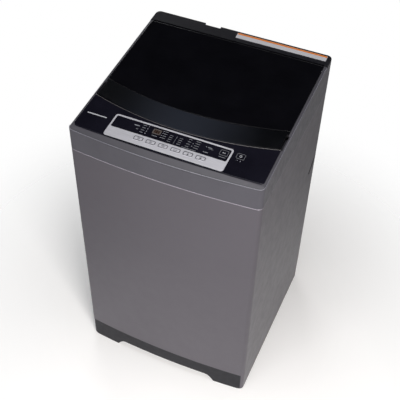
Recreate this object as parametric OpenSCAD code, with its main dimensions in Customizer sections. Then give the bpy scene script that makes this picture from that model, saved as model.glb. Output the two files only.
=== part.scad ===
// Compact top load washing machine, as an assembly of its real pieces.
// The origin is on the floor, under the middle of the machine. +Z is up and the front faces -Y.

/* [Cabinet] */
// Width of the cabinet
cabinet_w = 520; // [516:1:524]
// Depth of the cabinet at its corners
cabinet_d = 509; // [505:1:513]
// How far the middle of the front bows out past its corners
front_bow = 14; // [10:1:18]
// Height of the seam between the steel wrap and the top cover
seam_z = 805; // [802:1:808]
// Height of the deck at its front edge
deck_front_z = 870; // [868:1:873]
// Height of the deck at its rear edge
deck_rear_z = 917; // [914:1:920]
// Height of the plastic base at the front
base_h = 76; // [70:1:82]
// Thickness of the steel sheet
sheet_t = 0.8; // [0.7:0.1:1]
// Wall thickness of the plastic mouldings
wall_t = 3; // [2.6:0.1:3.2]

/* [Lid] */
// Half the width of the lid
lid_half_w = 251; // [249:0.5:251]
// Distance of the lid's front corners ahead of the middle of the machine
lid_front_y = 119.6; // [116:0.2:121]
// How far the middle of the lid's front edge bows out past its corners
lid_bow = 36; // [30:1:38]
// Distance of the lid's rear edge behind the middle of the machine
lid_rear_y = 201.5; // [200:0.5:202]
// How far the lid stands above the deck
lid_proud = 4; // [3.5:0.1:4.5]
// Depth of the handle strip along the lid's front edge
handle_depth = 64; // [58:1:70]

/* [Control panel] */
// Thickness of the panel plate
panel_t = 3; // [2.8:0.1:3]
// Spacing of the six function buttons
key_pitch = 33; // [31:0.5:34]
// Size of a function button
key_size = [25, 13]; // [22:1:27]
// Size of the start and power buttons
round_key_size = [22, 18]; // [20:1:23]
// How far a button travels
key_travel = 1; // [0.8:0.1:1]

/* [Tub and basket] */
// Distance of the tub's axis behind the middle of the machine
tub_y = 12; // [11:0.5:13]
// Outer radius of the outer tub
tub_r = 226; // [224:0.5:227]
// Height of the tub floor's underside
tub_floor_z = 262; // [261:0.5:263]
// Height of the tub's rim
tub_top_z = 748; // [745:1:750]
// Outer radius of the basket wall
basket_r = 205; // [203:0.5:206]
// Radius of the pulsator
pulsator_r = 165; // [160:1:168]

/* [Drive] */
// Distance from the tub's axis to the motor's axis
motor_x = 122; // [120:1:126]
// Radius of the pulley under the clutch
clutch_pulley_r = 62; // [58:1:62]
// Radius of the motor pulley
motor_pulley_r = 20; // [18:1:22]

/* [Suspension] */
// Sideways distance of each suspension rod from the tub's axis
rod_offset = 206; // [204:1:208]
// Radius of a suspension rod
rod_r = 3.5; // [3:0.1:3.8]

/* [Hidden] */

$fn = 64;
eps = 1;                 // overshoot of a cut past the face it leaves
far = 600;               // a length beyond the whole machine
half_w = cabinet_w / 2;
corner_y = cabinet_d / 2;
rear_reach = corner_y + front_bow;
deck_angle = atan((deck_rear_z - deck_front_z) / cabinet_d);

steel = [0.45, 0.44, 0.47];
dark_grey = [0.28, 0.28, 0.31];
near_black = [0.05, 0.05, 0.06];
pale_plastic = [0.82, 0.83, 0.85];
stainless = [0.72, 0.73, 0.75];
zinc = [0.66, 0.67, 0.7];
rubber_black = [0.09, 0.09, 0.09];

// --- shared outlines -----------------------------------------------------------------------

front_corner_r = 14;
rear_corner_r = 14;
bow_steps = 12;
corner_steps = 6;

function bow(x) = front_bow * (1 - pow(x / half_w, 2));
function arc(c, r, a0, a1) =
    [for (i = [0:corner_steps]) let (a = a0 + (a1 - a0) * i / corner_steps) c + r * [cos(a), sin(a)]];

// The cabinet's plan, inset by t: a bowed front and four rounded corners.
function plan(t) =
    let (
        h = half_w - t,
        rf = max(front_corner_r - t, 1),
        rr = max(rear_corner_r - t, 1),
        lean = atan(2 * front_bow * (half_w - front_corner_r) / pow(half_w, 2)),
        touch_x = h - rf + rf * sin(lean),
        front_c_y = -corner_y - bow(touch_x) + t + rf * cos(lean),
        rear_c_y = corner_y - t - rr
    )
    concat(
        [for (i = [1 - bow_steps:bow_steps - 1])
            let (x = touch_x * i / bow_steps) [x, -corner_y - bow(x) + t]],
        arc([h - rf, front_c_y], rf, lean - 90, 0),
        arc([h - rr, rear_c_y], rr, 0, 90),
        arc([rr - h, rear_c_y], rr, 90, 180),
        arc([rf - h, front_c_y], rf, 180, 270 - lean)
    );

module plan_prism(t, z0, z1) translate([0, 0, z0]) linear_extrude(z1 - z0) polygon(plan(t));

// Everything on the deck is laid out in the sloping deck's own frame:
// x across, y up the slope from the front corners, z out of the deck's surface.
module on_deck() translate([0, -corner_y, deck_front_z]) rotate([deck_angle, 0, 0]) children();
function up(y) = (y + corner_y) / cos(deck_angle);
function deck_z(y) = deck_front_z + (y + corner_y) * tan(deck_angle);

module deck_prism(points, w0, w1) on_deck() translate([0, 0, w0]) linear_extrude(w1 - w0) polygon(points);
module deck_box(x0, x1, y0, y1, w0, w1) on_deck()
    translate([x0, up(y0), w0]) cube([x1 - x0, up(y1) - up(y0), w1 - w0]);
module above_deck(w) on_deck() translate([-far, -far, w]) cube([2 * far, 3 * far, far]);

// A rounded rectangle on the deck, given by its corners and its corner radius.
module deck_pad(x0, x1, y0, y1, r, w0, w1) on_deck() translate([0, 0, w0]) linear_extrude(w1 - w0)
    polygon(concat(
        arc([x1 - r, up(y0) + r], r, -90, 0),
        arc([x1 - r, up(y1) - r], r, 0, 90),
        arc([x0 + r, up(y1) - r], r, 90, 180),
        arc([x0 + r, up(y0) + r], r, 180, 270)));

module ring(r_out, r_in, z0, z1) difference() {
    translate([0, 0, z0]) cylinder(r = r_out, h = z1 - z0);
    translate([0, 0, z0 - eps]) cylinder(r = r_in, h = z1 - z0 + 2 * eps);
}
module rod_x(r, x0, x1) translate([x0, 0, 0]) rotate([0, 90, 0]) cylinder(r = r, h = x1 - x0);
module rod_y(r, y0, y1) translate([0, y1, 0]) rotate([90, 0, 0]) cylinder(r = r, h = y1 - y0);

// --- lid outline ---------------------------------------------------------------------------

lid_steps = 12;
function lid_edge_y(x) = -lid_front_y - lid_bow * (1 - pow(x / lid_half_w, 2));

// The lid's outline, grown by g, from its bowed front to the depth y_back.
function lid_front(half, g) = [for (i = [-lid_steps:lid_steps]) let (t = i / lid_steps)
    [half * t, up(lid_edge_y(lid_half_w * t) - g)]];
function lid_plan(g, y_back) = concat(lid_front(lid_half_w + g, g),
    [[lid_half_w + g, up(y_back)], [-lid_half_w - g, up(y_back)]]);

// The curve across the lid at a given distance behind its front edge, closed at y_back.
function behind_edge(half, back, y_back) = concat(
    [for (i = [-lid_steps:lid_steps]) let (x = half * i / lid_steps) [x, up(lid_edge_y(x) + back)]],
    [[half, up(y_back)], [-half, up(y_back)]]);

lid_gap = 1.2;                     // between the lid and the control panel
well_gap = 0.8;                    // between the lid and the walls of its well
glass_t = 3;
glass_w = lid_proud - glass_t;     // underside of the glass, above the deck
frame_w = -11;                     // underside of the lid frame
well_w = -16;                      // floor of the lid well
trough_w = -25;                    // floor of the trough behind the opening, which the lid swings into
well_back_y = 205.5;               // front face of the rear console
hinge_y = 189;
hinge_w = -5;
hinge_z = deck_z(hinge_y) + hinge_w * cos(deck_angle);
hinge_line_y = hinge_y - hinge_w * sin(deck_angle);
pin_r = 4;
pin_fit = 0.06;
pin_start = 234;                   // inner and outer end of the hinge pin on each side
pin_end = lid_half_w + lid_gap + 1.8;
notch_y = [-121, -68];             // finger recess in each side of the lid
notch_in = 4;                      // its depth into the lid
notch_out = 3;                     // its depth into the rim

// --- cabinet -------------------------------------------------------------------------------

flange_w = 34;
flange_top_z = seam_z - 13;        // stops under the top cover's lip
back_t = 0.8;                      // thickness of the back panel
panel_y = corner_y - back_t;       // its inner face
grip = [14, 15, 68];               // depth, height and length of a side hand grip
grip_at = [219, 555];              // its centre: depth and height
grip_angle = 39;
screw_r = 2;
screw_hole_r = 2.15;
screw_head = [4, 2.2];             // radius and height
screw_length = 8;
back_screw_x = half_w - 24;
back_screw_z = [90, 260, 430, 600, 780];
back_half_w = half_w - rear_corner_r - 0.5;
back_z = [62, seam_z - 1];         // lower and upper edge of the back panel
rib_x = [-150, -50, 50, 150];      // stiffening ribs pressed into it
rib_z = [210, 690];
kick_half_w = 251;

module grip_box(side, extra, deep) translate([side * (half_w - deep / 2 + extra), grip_at[0], grip_at[1]])
    rotate([grip_angle, 0, 0]) cube([deep, grip[2] - 2 * extra, grip[1] - 2 * extra], center = true);

module back_screws(r, y0, y1) for (side = [-1, 1], z = back_screw_z)
    translate([side * back_screw_x, 0, z]) rod_y(r, y0, y1);

// Steel wrap: front and sides in one sheet, return flanges at the back and pressed hand grips.
module cabinet_shell() color(steel) difference() {
    union() {
        difference() {
            plan_prism(0, 4, seam_z);
            plan_prism(sheet_t, 0, seam_z + eps);
            translate([-far, panel_y - sheet_t, -eps]) cube([2 * far, far, far * 2]);
        }
        for (side = [-1, 1]) {
            intersection() {
                translate([side > 0 ? half_w - flange_w : -half_w, panel_y - sheet_t, 4])
                    cube([flange_w, sheet_t, flange_top_z - 4]);
                plan_prism(0, 0, seam_z);
            }
            intersection() {
                grip_box(side, 0, grip[0]);
                plan_prism(0, grip_at[1] - 100, grip_at[1] + 100);
            }
        }
    }
    for (side = [-1, 1]) translate([side * eps, 0, 0]) grip_box(side, sheet_t, grip[0]);
    translate([-kick_half_w, -far, -eps]) cube([2 * kick_half_w, far - 150, base_h + eps]);
    translate([-far, panel_y, -eps]) cube([2 * far, far, far * 2]);
    back_screws(screw_hole_r, panel_y - 3, panel_y + eps);
}

drain_at = [-95, 112];             // drain valve's place in plan
drain_z = 122;                     // height of the drain outlet
hose_r = 15.6;
gland_at = [-205, 640];            // cord gland: x and height
gland_r = 9;

module back_panel() color(steel) difference() {
    union() {
        translate([-back_half_w, panel_y, back_z[0]])
            cube([2 * back_half_w, back_t, back_z[1] - back_z[0]]);
        for (x = rib_x) translate([x - 6, corner_y - 0.1, rib_z[0]]) cube([12, 2, rib_z[1] - rib_z[0]]);
    }
    back_screws(screw_hole_r, panel_y - eps, corner_y + eps);
    translate([drain_at[0], 0, drain_z]) rod_y(hose_r + 0.4, panel_y - eps, corner_y + eps);
    translate([gland_at[0], 0, gland_at[1]]) rod_y(gland_r + 0.1, panel_y - eps, corner_y + eps);
}

// --- base and feet -------------------------------------------------------------------------

kick_z = 28;                       // underside of the base between the feet
block_z = 2.5;                     // underside of the moulded corner blocks
foot_at = [215, 205];              // feet: x, and distance from the middle of the machine
foot_inner_x = 166;                // inner end of each moulded foot at the front
foot_slope = 22;
block_size = [84, 104, 68];        // corner block behind each foot
foot_r = 19;
stud_r = 5;

module foot_places() for (x = [-1, 1], y = [-1, 1]) translate([x * foot_at[0], y * foot_at[1], 0]) children();

// One front foot block, seen from the front: its inner end slopes up to the arch.
module front_foot_outline() polygon([[foot_inner_x, block_z], [kick_half_w - 8, block_z],
    [kick_half_w - 2.5, block_z + 2.5], [kick_half_w, block_z + 9], [kick_half_w, base_h - 0.3],
    [foot_inner_x - foot_slope - 8, base_h - 0.3], [foot_inner_x - foot_slope - 8, kick_z],
    [foot_inner_x - foot_slope + 2, kick_z - 2], [foot_inner_x - foot_slope + 10, kick_z - 9]]);

// A corner block, or the pocket in its top: walls thinner by t, floor thicker by deep.
module foot_block(t, deep) translate([t - block_size[0] / 2, t - block_size[1] / 2, block_z + deep])
    cube([block_size[0] - 2 * t, block_size[1] - 2 * t, block_size[2]]);

module base_frame() color(dark_grey) difference() {
    union() {
        difference() {
            plan_prism(sheet_t + 0.4, kick_z, base_h - 0.3);
            plan_prism(20, kick_z - eps, base_h);
            translate([-far, panel_y - 2, 0]) cube([2 * far, far, far]);
        }
        // The kick face, flush with the steel above it
        intersection() {
            difference() {
                plan_prism(0, block_z, base_h - 0.3);
                plan_prism(8, 0, base_h);
            }
            union() {
                translate([-foot_inner_x, -far, kick_z])
                    cube([2 * foot_inner_x, far - 200, base_h - kick_z - 0.3]);
                for (side = [-1, 1]) scale([side, 1, 1]) translate([0, -200, 0])
                    rotate([90, 0, 0]) linear_extrude(far) front_foot_outline();
            }
        }
        intersection() {
            plan_prism(sheet_t + 0.4, block_z, base_h);
            foot_places() union() {
                difference() {
                    foot_block(0, 0);
                    foot_block(4, 16);
                }
                translate([0, 0, block_z]) cylinder(r = 12, h = block_size[2]);
            }
            translate([-far, -far, 0]) cube([2 * far, far + panel_y - 2, far]);
        }
    }
    foot_places() {
        translate([0, 0, -eps]) cylinder(r = foot_r + 1.5, h = 14 + eps);
        cylinder(r = stud_r + 0.3, h = base_h);
    }
}

module levelling_foot(side) color(rubber_black) translate([side * foot_at[0], -foot_at[1], 0]) {
    cylinder(r = foot_r, h = 8);
    translate([0, 0, 8]) cylinder(r = 11, h = 4, $fn = 6);
    translate([0, 0, 12]) cylinder(r = stud_r, h = 46);
}
module left_levelling_foot() levelling_foot(-1);
module right_levelling_foot() levelling_foot(1);

module rear_feet() color(rubber_black) for (side = [-1, 1]) translate([side * foot_at[0], foot_at[1], 0]) {
    cylinder(r = foot_r, h = 14);
    translate([0, 0, 14]) cylinder(r = stud_r, h = 30);
}

// --- top cover -----------------------------------------------------------------------------

opening = [180, -112, 176, 60];    // lid opening: half width, front, rear and corner radius
skirt_z = 775;
panel_front_y = 239;               // control panel's front edge at its corners
panel_bow = 6;
band_angle = 12.8;                 // fall of the rim in front of the panel
edge_chamfer = 2.6;
tray_cut = [188, -236, -160];      // hole under the panel: half width, front and rear
spout_window = [-37, 87, 812, 868];   // window for the drawer: x range and z range
inlet_x = -87;                     // water inlet
inlet_z = 868;
nipple_r = 13.2;
recess_x = [-110, -64];            // recess round the inlet at the rear
recess_y = corner_y - 7;
recess_z = inlet_z - 24;
console_w = -3;                    // underside of the rear console

module opening_prism(g, z0, z1) let (h = opening[0] + g, r = opening[3] + g)
    translate([0, 0, z0]) linear_extrude(z1 - z0) polygon(concat(
        arc([h - r, opening[1] - g + r], r, -90, 0),
        arc([h - r, opening[2] + g - r], r, 0, 90),
        arc([r - h, opening[2] + g - r], r, 90, 180),
        arc([r - h, opening[1] - g + r], r, 180, 270)));

// Finger recesses in the rim, from the lid's edge outwards and up from w0
module finger_notches(w0) let (reach = lid_half_w + lid_gap + notch_out) for (side = [-1, 1])
    deck_box(side > 0 ? lid_half_w - eps : -reach, side > 0 ? reach : eps - lid_half_w,
        notch_y[0], notch_y[1], w0, far);
// Their other half, in the lid
module lid_notches() for (side = [-1, 1])
    deck_box(side > 0 ? lid_half_w - notch_in : -far, side > 0 ? far : notch_in - lid_half_w,
        notch_y[0], notch_y[1], frame_w - eps, far);

// The rear strip's space: the console plate fills it, so the top cover leaves it out.
module console_space(g) deck_box(-far, far, well_back_y - g, 400, console_w - g, far);

module deck_edges() {
    above_deck(0);
    // sloping band in front of the control panel
    translate([0, -panel_front_y - 4, deck_z(-panel_front_y - 4)]) rotate([band_angle, 0, 0])
        translate([-far, -100, 0]) cube([2 * far, 100, 100]);
    for (side = [-1, 1]) on_deck() translate([side * (half_w - edge_chamfer), -100, 0])
        rotate([0, side * 45, 0]) translate([side > 0 ? 0 : -60, 0, 0]) cube([60, 900, 60]);
}

module top_cover() color(dark_grey) difference() {
    union() {
        // outer walls and deck
        difference() {
            plan_prism(0, seam_z, deck_rear_z + 20);
            difference() {
                plan_prism(wall_t, seam_z - eps, deck_rear_z + 30);
                above_deck(-wall_t);
            }
            intersection() {
                console_space(0);
                plan_prism(wall_t, seam_z, deck_rear_z + 30);
            }
        }
        // lip inside the steel wrap
        difference() {
            plan_prism(sheet_t + 0.2, seam_z - 12, seam_z + 2);
            plan_prism(wall_t + 1, seam_z - 13, seam_z + 3);
        }
    }
    deck_edges();
    intersection() {
        console_space(0);
        plan_prism(-eps, seam_z, far * 2);
    }
    deck_prism(lid_plan(well_gap, well_back_y), well_w, far);
    deck_box(-tray_cut[0], tray_cut[0], tray_cut[1], tray_cut[2], -14, far);
    finger_notches(well_w);
    // pockets for the ends of the hinge pins
    translate([0, hinge_line_y, hinge_z]) rod_x(pin_r + 0.3, -pin_end - 0.3, pin_end + 0.3);
    // opening for the water inlet
    translate([recess_x[0], recess_y, recess_z]) cube([recess_x[1] - recess_x[0], far, far]);
    rear_cover_screws(screw_hole_r, corner_y - wall_t - eps, corner_y + eps);
}

// The well that the lid lies in, with a trough behind its opening and a skirt down to the tub.
module lid_well() color(dark_grey) difference() {
    union() {
        difference() {
            deck_prism(lid_plan(well_gap + wall_t, well_back_y + wall_t), trough_w - wall_t, -wall_t);
            deck_box(-far, far, -far, opening[2] + wall_t, trough_w - wall_t - eps, well_w - wall_t);
        }
        // thicker walls round the finger recesses
        for (side = [-1, 1]) deck_box(side > 0 ? lid_half_w : 0.2 - half_w + wall_t,
            side > 0 ? half_w - wall_t - 0.2 : -lid_half_w, notch_y[0] - 4, notch_y[1] + 4, well_w, -wall_t);
        difference() {
            opening_prism(wall_t, skirt_z, deck_z(0) + 10);
            above_deck(well_w - 1);
        }
    }
    deck_prism(lid_plan(well_gap, well_back_y), well_w, far);
    deck_box(-lid_half_w - well_gap, lid_half_w + well_gap, opening[2] + 2 * wall_t, well_back_y,
        trough_w, far);
    opening_prism(0, skirt_z - eps, far * 2);
    translate([spout_window[0], opening[2] - 10, spout_window[2]])
        cube([spout_window[1] - spout_window[0], 30, spout_window[3] - spout_window[2]]);
    finger_notches(well_w + 2);
    // hinge pin bores
    translate([0, hinge_line_y, hinge_z]) rod_x(pin_r + pin_fit, -half_w, half_w);
}

cover_screw_x = [-230, -20, 190];
module rear_cover_screws(r, y0, y1) for (x = cover_screw_x) translate([x, 0, seam_z + 22]) rod_y(r, y0, y1);

// The rear strip: a cap over the water inlet, with a low step at the inlet recess.
module rear_console() color(dark_grey) difference() {
    intersection() {
        plan_prism(0, seam_z, deck_rear_z + 20);
        console_space(0);
    }
    deck_edges();
    deck_box(recess_x[0], recess_x[1], recess_y, far, -9, far);
    deck_box(-116.6, -115.4, 217, 233, -1.2, far);
}

// --- lid -----------------------------------------------------------------------------------

frame_rear_y = 197;
window = [205, 160, handle_depth + 12];    // the frame's opening: half width, rear edge, front edge
boss_r = 5.8;

module frame_window(g, w0, w1)
    deck_prism(behind_edge(window[0] + g, window[2] - g, window[1] + g), w0, w1);

module lid_frame() color(near_black) difference() {
    union() {
        difference() {
            deck_prism(lid_plan(-1, frame_rear_y), frame_w, glass_w);
            deck_prism(lid_plan(-1 - wall_t, frame_rear_y - wall_t), frame_w - eps, glass_w - wall_t);
        }
        for (side = [-1, 1]) translate([0, hinge_line_y, hinge_z])
            rod_x(boss_r, side > 0 ? 228 : -lid_half_w + 1, side > 0 ? lid_half_w - 1 : -228);
        frame_window(wall_t, frame_w, glass_w);
    }
    frame_window(0, frame_w - eps, glass_w + eps);
    lid_notches();
    translate([0, hinge_line_y, hinge_z]) rod_x(pin_r, -far, far);
}

module lid_glass() color(near_black)
    deck_prism(behind_edge(lid_half_w, handle_depth, lid_rear_y), glass_w, lid_proud);

module lid_handle() color([0.12, 0.12, 0.15]) difference() {
    deck_prism(lid_plan(0, 0), glass_w, lid_proud);
    deck_prism(behind_edge(lid_half_w + eps, handle_depth, 400), glass_w - eps, lid_proud + eps);
    lid_notches();
}

module lid_hinge_pins() color(zinc) translate([0, hinge_line_y, hinge_z]) for (side = [-1, 1])
    rod_x(pin_r, side > 0 ? pin_start : -pin_end, side > 0 ? pin_end : -pin_start);

// --- control panel -------------------------------------------------------------------------

trim_box = [-168, 150, -240, -164];    // silver trim: x range and y range
trim_line = 4.4;
trim_t = 0.8;
strip_top_y = -208;                // top edge of the silver strip
key_y = -221.5;
first_key_x = -79;
key_gap = 0.35;
key_proud = 1.2;
start_at = [131, -184];
power_at = [172, -179];
display_box = [-59, -37, -191, -174];
board_w = -23.6;
board_t = 1.6;
switch_t = 1.1;
panel_posts = [[-172, -228], [-172, -170], [20, -170], [176, -228], [108, -170], [-100, -170]];

function panel_points() = concat(
    [for (i = [1 - lid_steps:lid_steps - 1]) let (t = i / lid_steps)
        [(lid_half_w - 8) * t, up(-panel_front_y - panel_bow * (1 - t * t))]],
    arc([lid_half_w - 9.5, up(-panel_front_y) + 11], 11, -85, 0),
    [for (i = [-lid_steps:lid_steps]) let (t = -i / lid_steps)
        [(lid_half_w + 1) * t, up(lid_edge_y(lid_half_w * t) - lid_gap)]],
    arc([-lid_half_w + 9.5, up(-panel_front_y) + 11], 11, 180, 265));

module key_holes(g, w0, w1) {
    for (i = [0:5]) key_body(first_key_x + i * key_pitch, key_y, key_size, g, w0, w1);
    key_body(start_at[0], start_at[1], round_key_size, g, w0, w1);
    key_body(power_at[0], power_at[1], round_key_size, g, w0, w1);
}
module key_body(x, y, size, g, w0, w1) deck_pad(x - size[0] / 2 - g, x + size[0] / 2 + g,
    y - size[1] / 2 - g, y + size[1] / 2 + g, 3 + g, w0, w1);

module control_panel() color(near_black) difference() {
    union() {
        deck_prism(panel_points(), 0, panel_t);
        for (p = panel_posts) on_deck() translate([p[0], up(p[1]), board_w + board_t])
            cylinder(r = 3.5, h = 1 - board_w - board_t);
    }
    key_holes(key_gap, -eps, panel_t + eps);
    display_block(0, -eps, panel_t + eps);
}
module display_block(g, w0, w1)
    deck_box(display_box[0] + g, display_box[1] - g, display_box[2] + g, display_box[3] - g, w0, w1);

module silver_trim() color([0.7, 0.7, 0.74]) difference() {
    deck_pad(trim_box[0], trim_box[1], trim_box[2], trim_box[3], 7, panel_t, panel_t + trim_t);
    deck_pad(trim_box[0] + trim_line, trim_box[1] - trim_line, strip_top_y, trim_box[3] - trim_line, 3,
        panel_t - eps, far);
    key_holes(key_gap, panel_t - eps, panel_t + 2);
}

module display_window() color([0.25, 0.12, 0.08]) display_block(0.1, 0, panel_t + 0.2);

// A key: its cap, a flange that holds it under the panel and a stem that stops just above its switch.
key_flange = 1.2;
stem_w = board_w + board_t + switch_t + key_travel + 0.3;
module key_button(x, y, size, top_w) {
    key_body(x, y, size, 0, 0, top_w);
    key_body(x, y, size, key_flange, -1.8, -0.3);
    on_deck() translate([x, up(y), stem_w]) cylinder(r = 2.5, h = 0.5 - stem_w);
}
module function_key(i) color([0.72, 0.72, 0.76])
    key_button(first_key_x + i * key_pitch, key_y, key_size, panel_t + trim_t + key_proud);
module delay_button() function_key(0);
module function_button() function_key(1);
module program_button() function_key(2);
module water_level_button() function_key(3);
module temperature_button() function_key(4);
module lock_button() function_key(5);
module round_key(at) color(near_black) key_button(at[0], at[1], round_key_size, panel_t + key_proud);
module start_button() round_key(start_at);
module power_button() round_key(power_at);

module control_board() color([0.1, 0.35, 0.2]) {
    deck_box(-179, 181, -234, -164, board_w, board_w + board_t);
    for (i = [0:5]) tact_switch(first_key_x + i * key_pitch, key_y);
    tact_switch(start_at[0], start_at[1]);
    tact_switch(power_at[0], power_at[1]);
    for (x = [-150, -110, 60]) deck_box(x, x + 24, -200, -186, board_w - 9, board_w);
    deck_box(110, 160, -225, -190, board_w - 14, board_w);
    display_block(1, board_w + board_t, -6);
}
module tact_switch(x, y)
    deck_box(x - 3, x + 3, y - 3, y + 3, board_w + board_t, board_w + board_t + switch_t);

// --- water inlet and detergent drawer ------------------------------------------------------

box_x = [-45, 95];
box_y = [opening[2] + wall_t, 240];
box_z = [802, 880];
drawer_x = [-34, 84];
drawer_z = [816, 862];
valve_y = [210, 238];              // front and rear face of the valve body
valve_w = 36;
valve_z = [inlet_z - 20, inlet_z + 14];
spigot_at = [224, 862];            // the valve's outlet, which plugs into the box: y and height
inlet_spigot = [9, 6];             // its outer and inner radius
nipple_bore_r = 9;
solenoid = [14, 40];               // radius and height

module inlet_valve() color(dark_grey) {
    // recess behind the opening in the top cover
    difference() {
        translate([recess_x[0] - wall_t, recess_y - wall_t, recess_z - wall_t])
            cube([recess_x[1] - recess_x[0] + 2 * wall_t, corner_y - recess_y - 0.1, far]);
        translate([recess_x[0], recess_y, recess_z]) cube([recess_x[1] - recess_x[0], far, far]);
        console_space(0.1);
    }
    difference() {
        translate([inlet_x, 0, inlet_z]) rod_y(nipple_r, valve_y[1] - 2, rear_reach);
        translate([inlet_x, 0, inlet_z]) rod_y(nipple_bore_r, recess_y + 0.5, rear_reach + eps);
    }
    difference() {
        union() {
            translate([inlet_x - valve_w / 2, valve_y[0], valve_z[0]])
                cube([valve_w, valve_y[1] - valve_y[0], valve_z[1] - valve_z[0]]);
            translate([0, spigot_at[0], spigot_at[1]]) rod_x(inlet_spigot[0], inlet_x, box_x[0]);
        }
        translate([0, spigot_at[0], spigot_at[1]]) rod_x(inlet_spigot[1], inlet_x, 0);
    }
    // solenoid under the body
    translate([inlet_x, spigot_at[0], valve_z[0] + 4 - solenoid[1]])
        cylinder(r = solenoid[0], h = solenoid[1]);
}

module inlet_box() color(pale_plastic) difference() {
    translate([box_x[0], box_y[0], box_z[0]])
        cube([box_x[1] - box_x[0], box_y[1] - box_y[0], box_z[1] - box_z[0]]);
    translate([drawer_x[0] - 1, box_y[0] - eps, drawer_z[0] - 1])
        cube([drawer_x[1] - drawer_x[0] + 2, 56, drawer_z[1] - drawer_z[0] + 9]);
    translate([0, spigot_at[0], spigot_at[1]]) rod_x(inlet_spigot[1], -far, box_x[0] + 20);
}

module detergent_drawer() color(pale_plastic) difference() {
    translate([drawer_x[0], opening[2] + 0.5, drawer_z[0]])
        cube([drawer_x[1] - drawer_x[0], 54, drawer_z[1] - drawer_z[0] - 4]);
    for (x = [drawer_x[0] + 2.5, 47]) translate([x, opening[2] + 4, drawer_z[0] + 3])
        cube([x < 0 ? 76 : 34.5, 48, 80]);
    translate([10, opening[2] - eps, drawer_z[1] - 14]) cube([30, 4, 20]);
}

module lid_switch() color(near_black) deck_box(206, 240, 182, 204, trough_w - wall_t - 20, trough_w - wall_t);

// --- tub and basket ------------------------------------------------------------------------

boss_r_out = 36;
bearing_r = 20;
lug_z = [tub_floor_z + 10, tub_floor_z + 26];
trap_at = 171;                     // air trap: distance from the tub's axis along x and along y
trap_r = 14;
trap_z = [tub_floor_z + 40, tub_floor_z + 84];
nozzle_z = trap_z[1] + 42;         // top of the trap's hose nozzle
lug_r = 19;                        // lugs that sit on the damper cups
rim_w = 5;                         // the tub's rim outside its wall
floor_t = 4;
tub_wall = 3.5;
shaft_r = 13;
shaft_fit = 0.05;

module at_tub() translate([0, tub_y, 0]) children();
module rod_places() at_tub() for (x = [-1, 1], y = [-1, 1])
    translate([x * rod_offset, y * rod_offset, 0]) children();

module outer_tub() color(pale_plastic) difference() {
    union() {
        at_tub() {
            ring(tub_r, tub_r - tub_wall, tub_floor_z, tub_top_z);
            ring(tub_r + rim_w, tub_r - tub_wall, tub_top_z - 8, tub_top_z);
            translate([0, 0, tub_floor_z]) cylinder(r = tub_r, h = floor_t);
            translate([0, 0, tub_floor_z - 12]) cylinder(r = boss_r_out, h = 22);
            for (a = [0:30:330]) rotate([0, 0, a]) translate([boss_r_out - 5, -1.5, tub_floor_z + 3])
                cube([tub_r - boss_r_out, 3, 4]);
            for (a = [45:90:315]) rotate([0, 0, a]) difference() {
                translate([tub_r - 4, -15, lug_z[0]])
                    cube([norm([rod_offset, rod_offset]) - tub_r, 30, lug_z[1] - lug_z[0]]);
                translate([0, 0, lug_z[0] - eps]) cylinder(r = tub_r - tub_wall, h = 40);
            }
            // air trap for the pressure sensor
            translate([trap_at, trap_at, trap_z[0]]) cylinder(r = trap_r, h = trap_z[1] - trap_z[0]);
            translate([trap_at - 16, trap_at - 16, trap_z[0]])
                rotate([0, 0, 45]) translate([-6, -8, 0]) cube([24, 16, 30]);
            translate([trap_at, trap_at, trap_z[1] - 4]) cylinder(r = 3.4, h = nozzle_z - trap_z[1] + 4);
        }
        rod_places() translate([0, 0, lug_z[0]]) cylinder(r = lug_r, h = lug_z[1] - lug_z[0]);
    }
    at_tub() {
        translate([0, 0, tub_floor_z - 13]) cylinder(r = bearing_r, h = 40);
        translate([0, 0, tub_floor_z + 10]) cylinder(r = boss_r_out, h = 5);
        translate([trap_at, trap_at, nozzle_z - 26]) cylinder(r = 1.6, h = 40);
        ring(tub_r - tub_wall, tub_r - tub_wall - 30, tub_floor_z + 8, tub_top_z - 60);
    }
    translate([drain_at[0], drain_at[1], tub_floor_z - eps]) cylinder(r = 14, h = 20);
    rod_places() cylinder(r = rod_r + 1.5, h = far);
}

cover_in_r = 182;
module tub_cover() color(pale_plastic) at_tub() rotate_extrude() polygon([
    [cover_in_r, tub_top_z - 4], [cover_in_r + 2.5, tub_top_z - 4], [cover_in_r + 2.5, tub_top_z + 8],
    [tub_r + 2, tub_top_z + 6], [tub_r + 2, tub_top_z], [tub_r + rim_w, tub_top_z],
    [tub_r + rim_w, tub_top_z + 9], [cover_in_r + 6, tub_top_z + 12], [cover_in_r, tub_top_z + 9]]);

basket_z = [tub_floor_z + 58, 694];
basket_t = 0.8;
module wash_basket() color(stainless) at_tub() union() {
    ring(basket_r, basket_r - basket_t, basket_z[0], basket_z[1]);
    for (z = [basket_z[0] + 60, basket_z[1] - 50]) ring(basket_r + 1.2, basket_r - 0.6, z, z + 8);
}

module basket_base() color(pale_plastic) at_tub() difference() {
    rotate_extrude() polygon([[shaft_r + 0.5, 284], [basket_r - 6, 284], [basket_r, 290],
        [basket_r, basket_z[0]], [basket_r - 6, basket_z[0]], [pulsator_r + 14, 306], [pulsator_r + 4, 304],
        [pulsator_r + 4, 292], [shaft_r + 0.5, 292]]);
    for (a = [15:30:345], r = [90, 120, 150]) rotate([0, 0, a]) translate([r, 0, 280])
        cylinder(r = 5, h = 20, $fn = 24);
}

ring_in_r = 180;
module balance_ring() color(pale_plastic) at_tub() rotate_extrude() polygon([
    [basket_r - 2, basket_z[1]], [basket_r + 1, basket_z[1]], [basket_r + 6, basket_z[1] + 6],
    [basket_r + 6, 734], [basket_r + 2, 738], [ring_in_r + 5, 738], [ring_in_r + 1, 736], [ring_in_r, 731],
    [ring_in_r, 704], [ring_in_r + 3, basket_z[1]]]);

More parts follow.
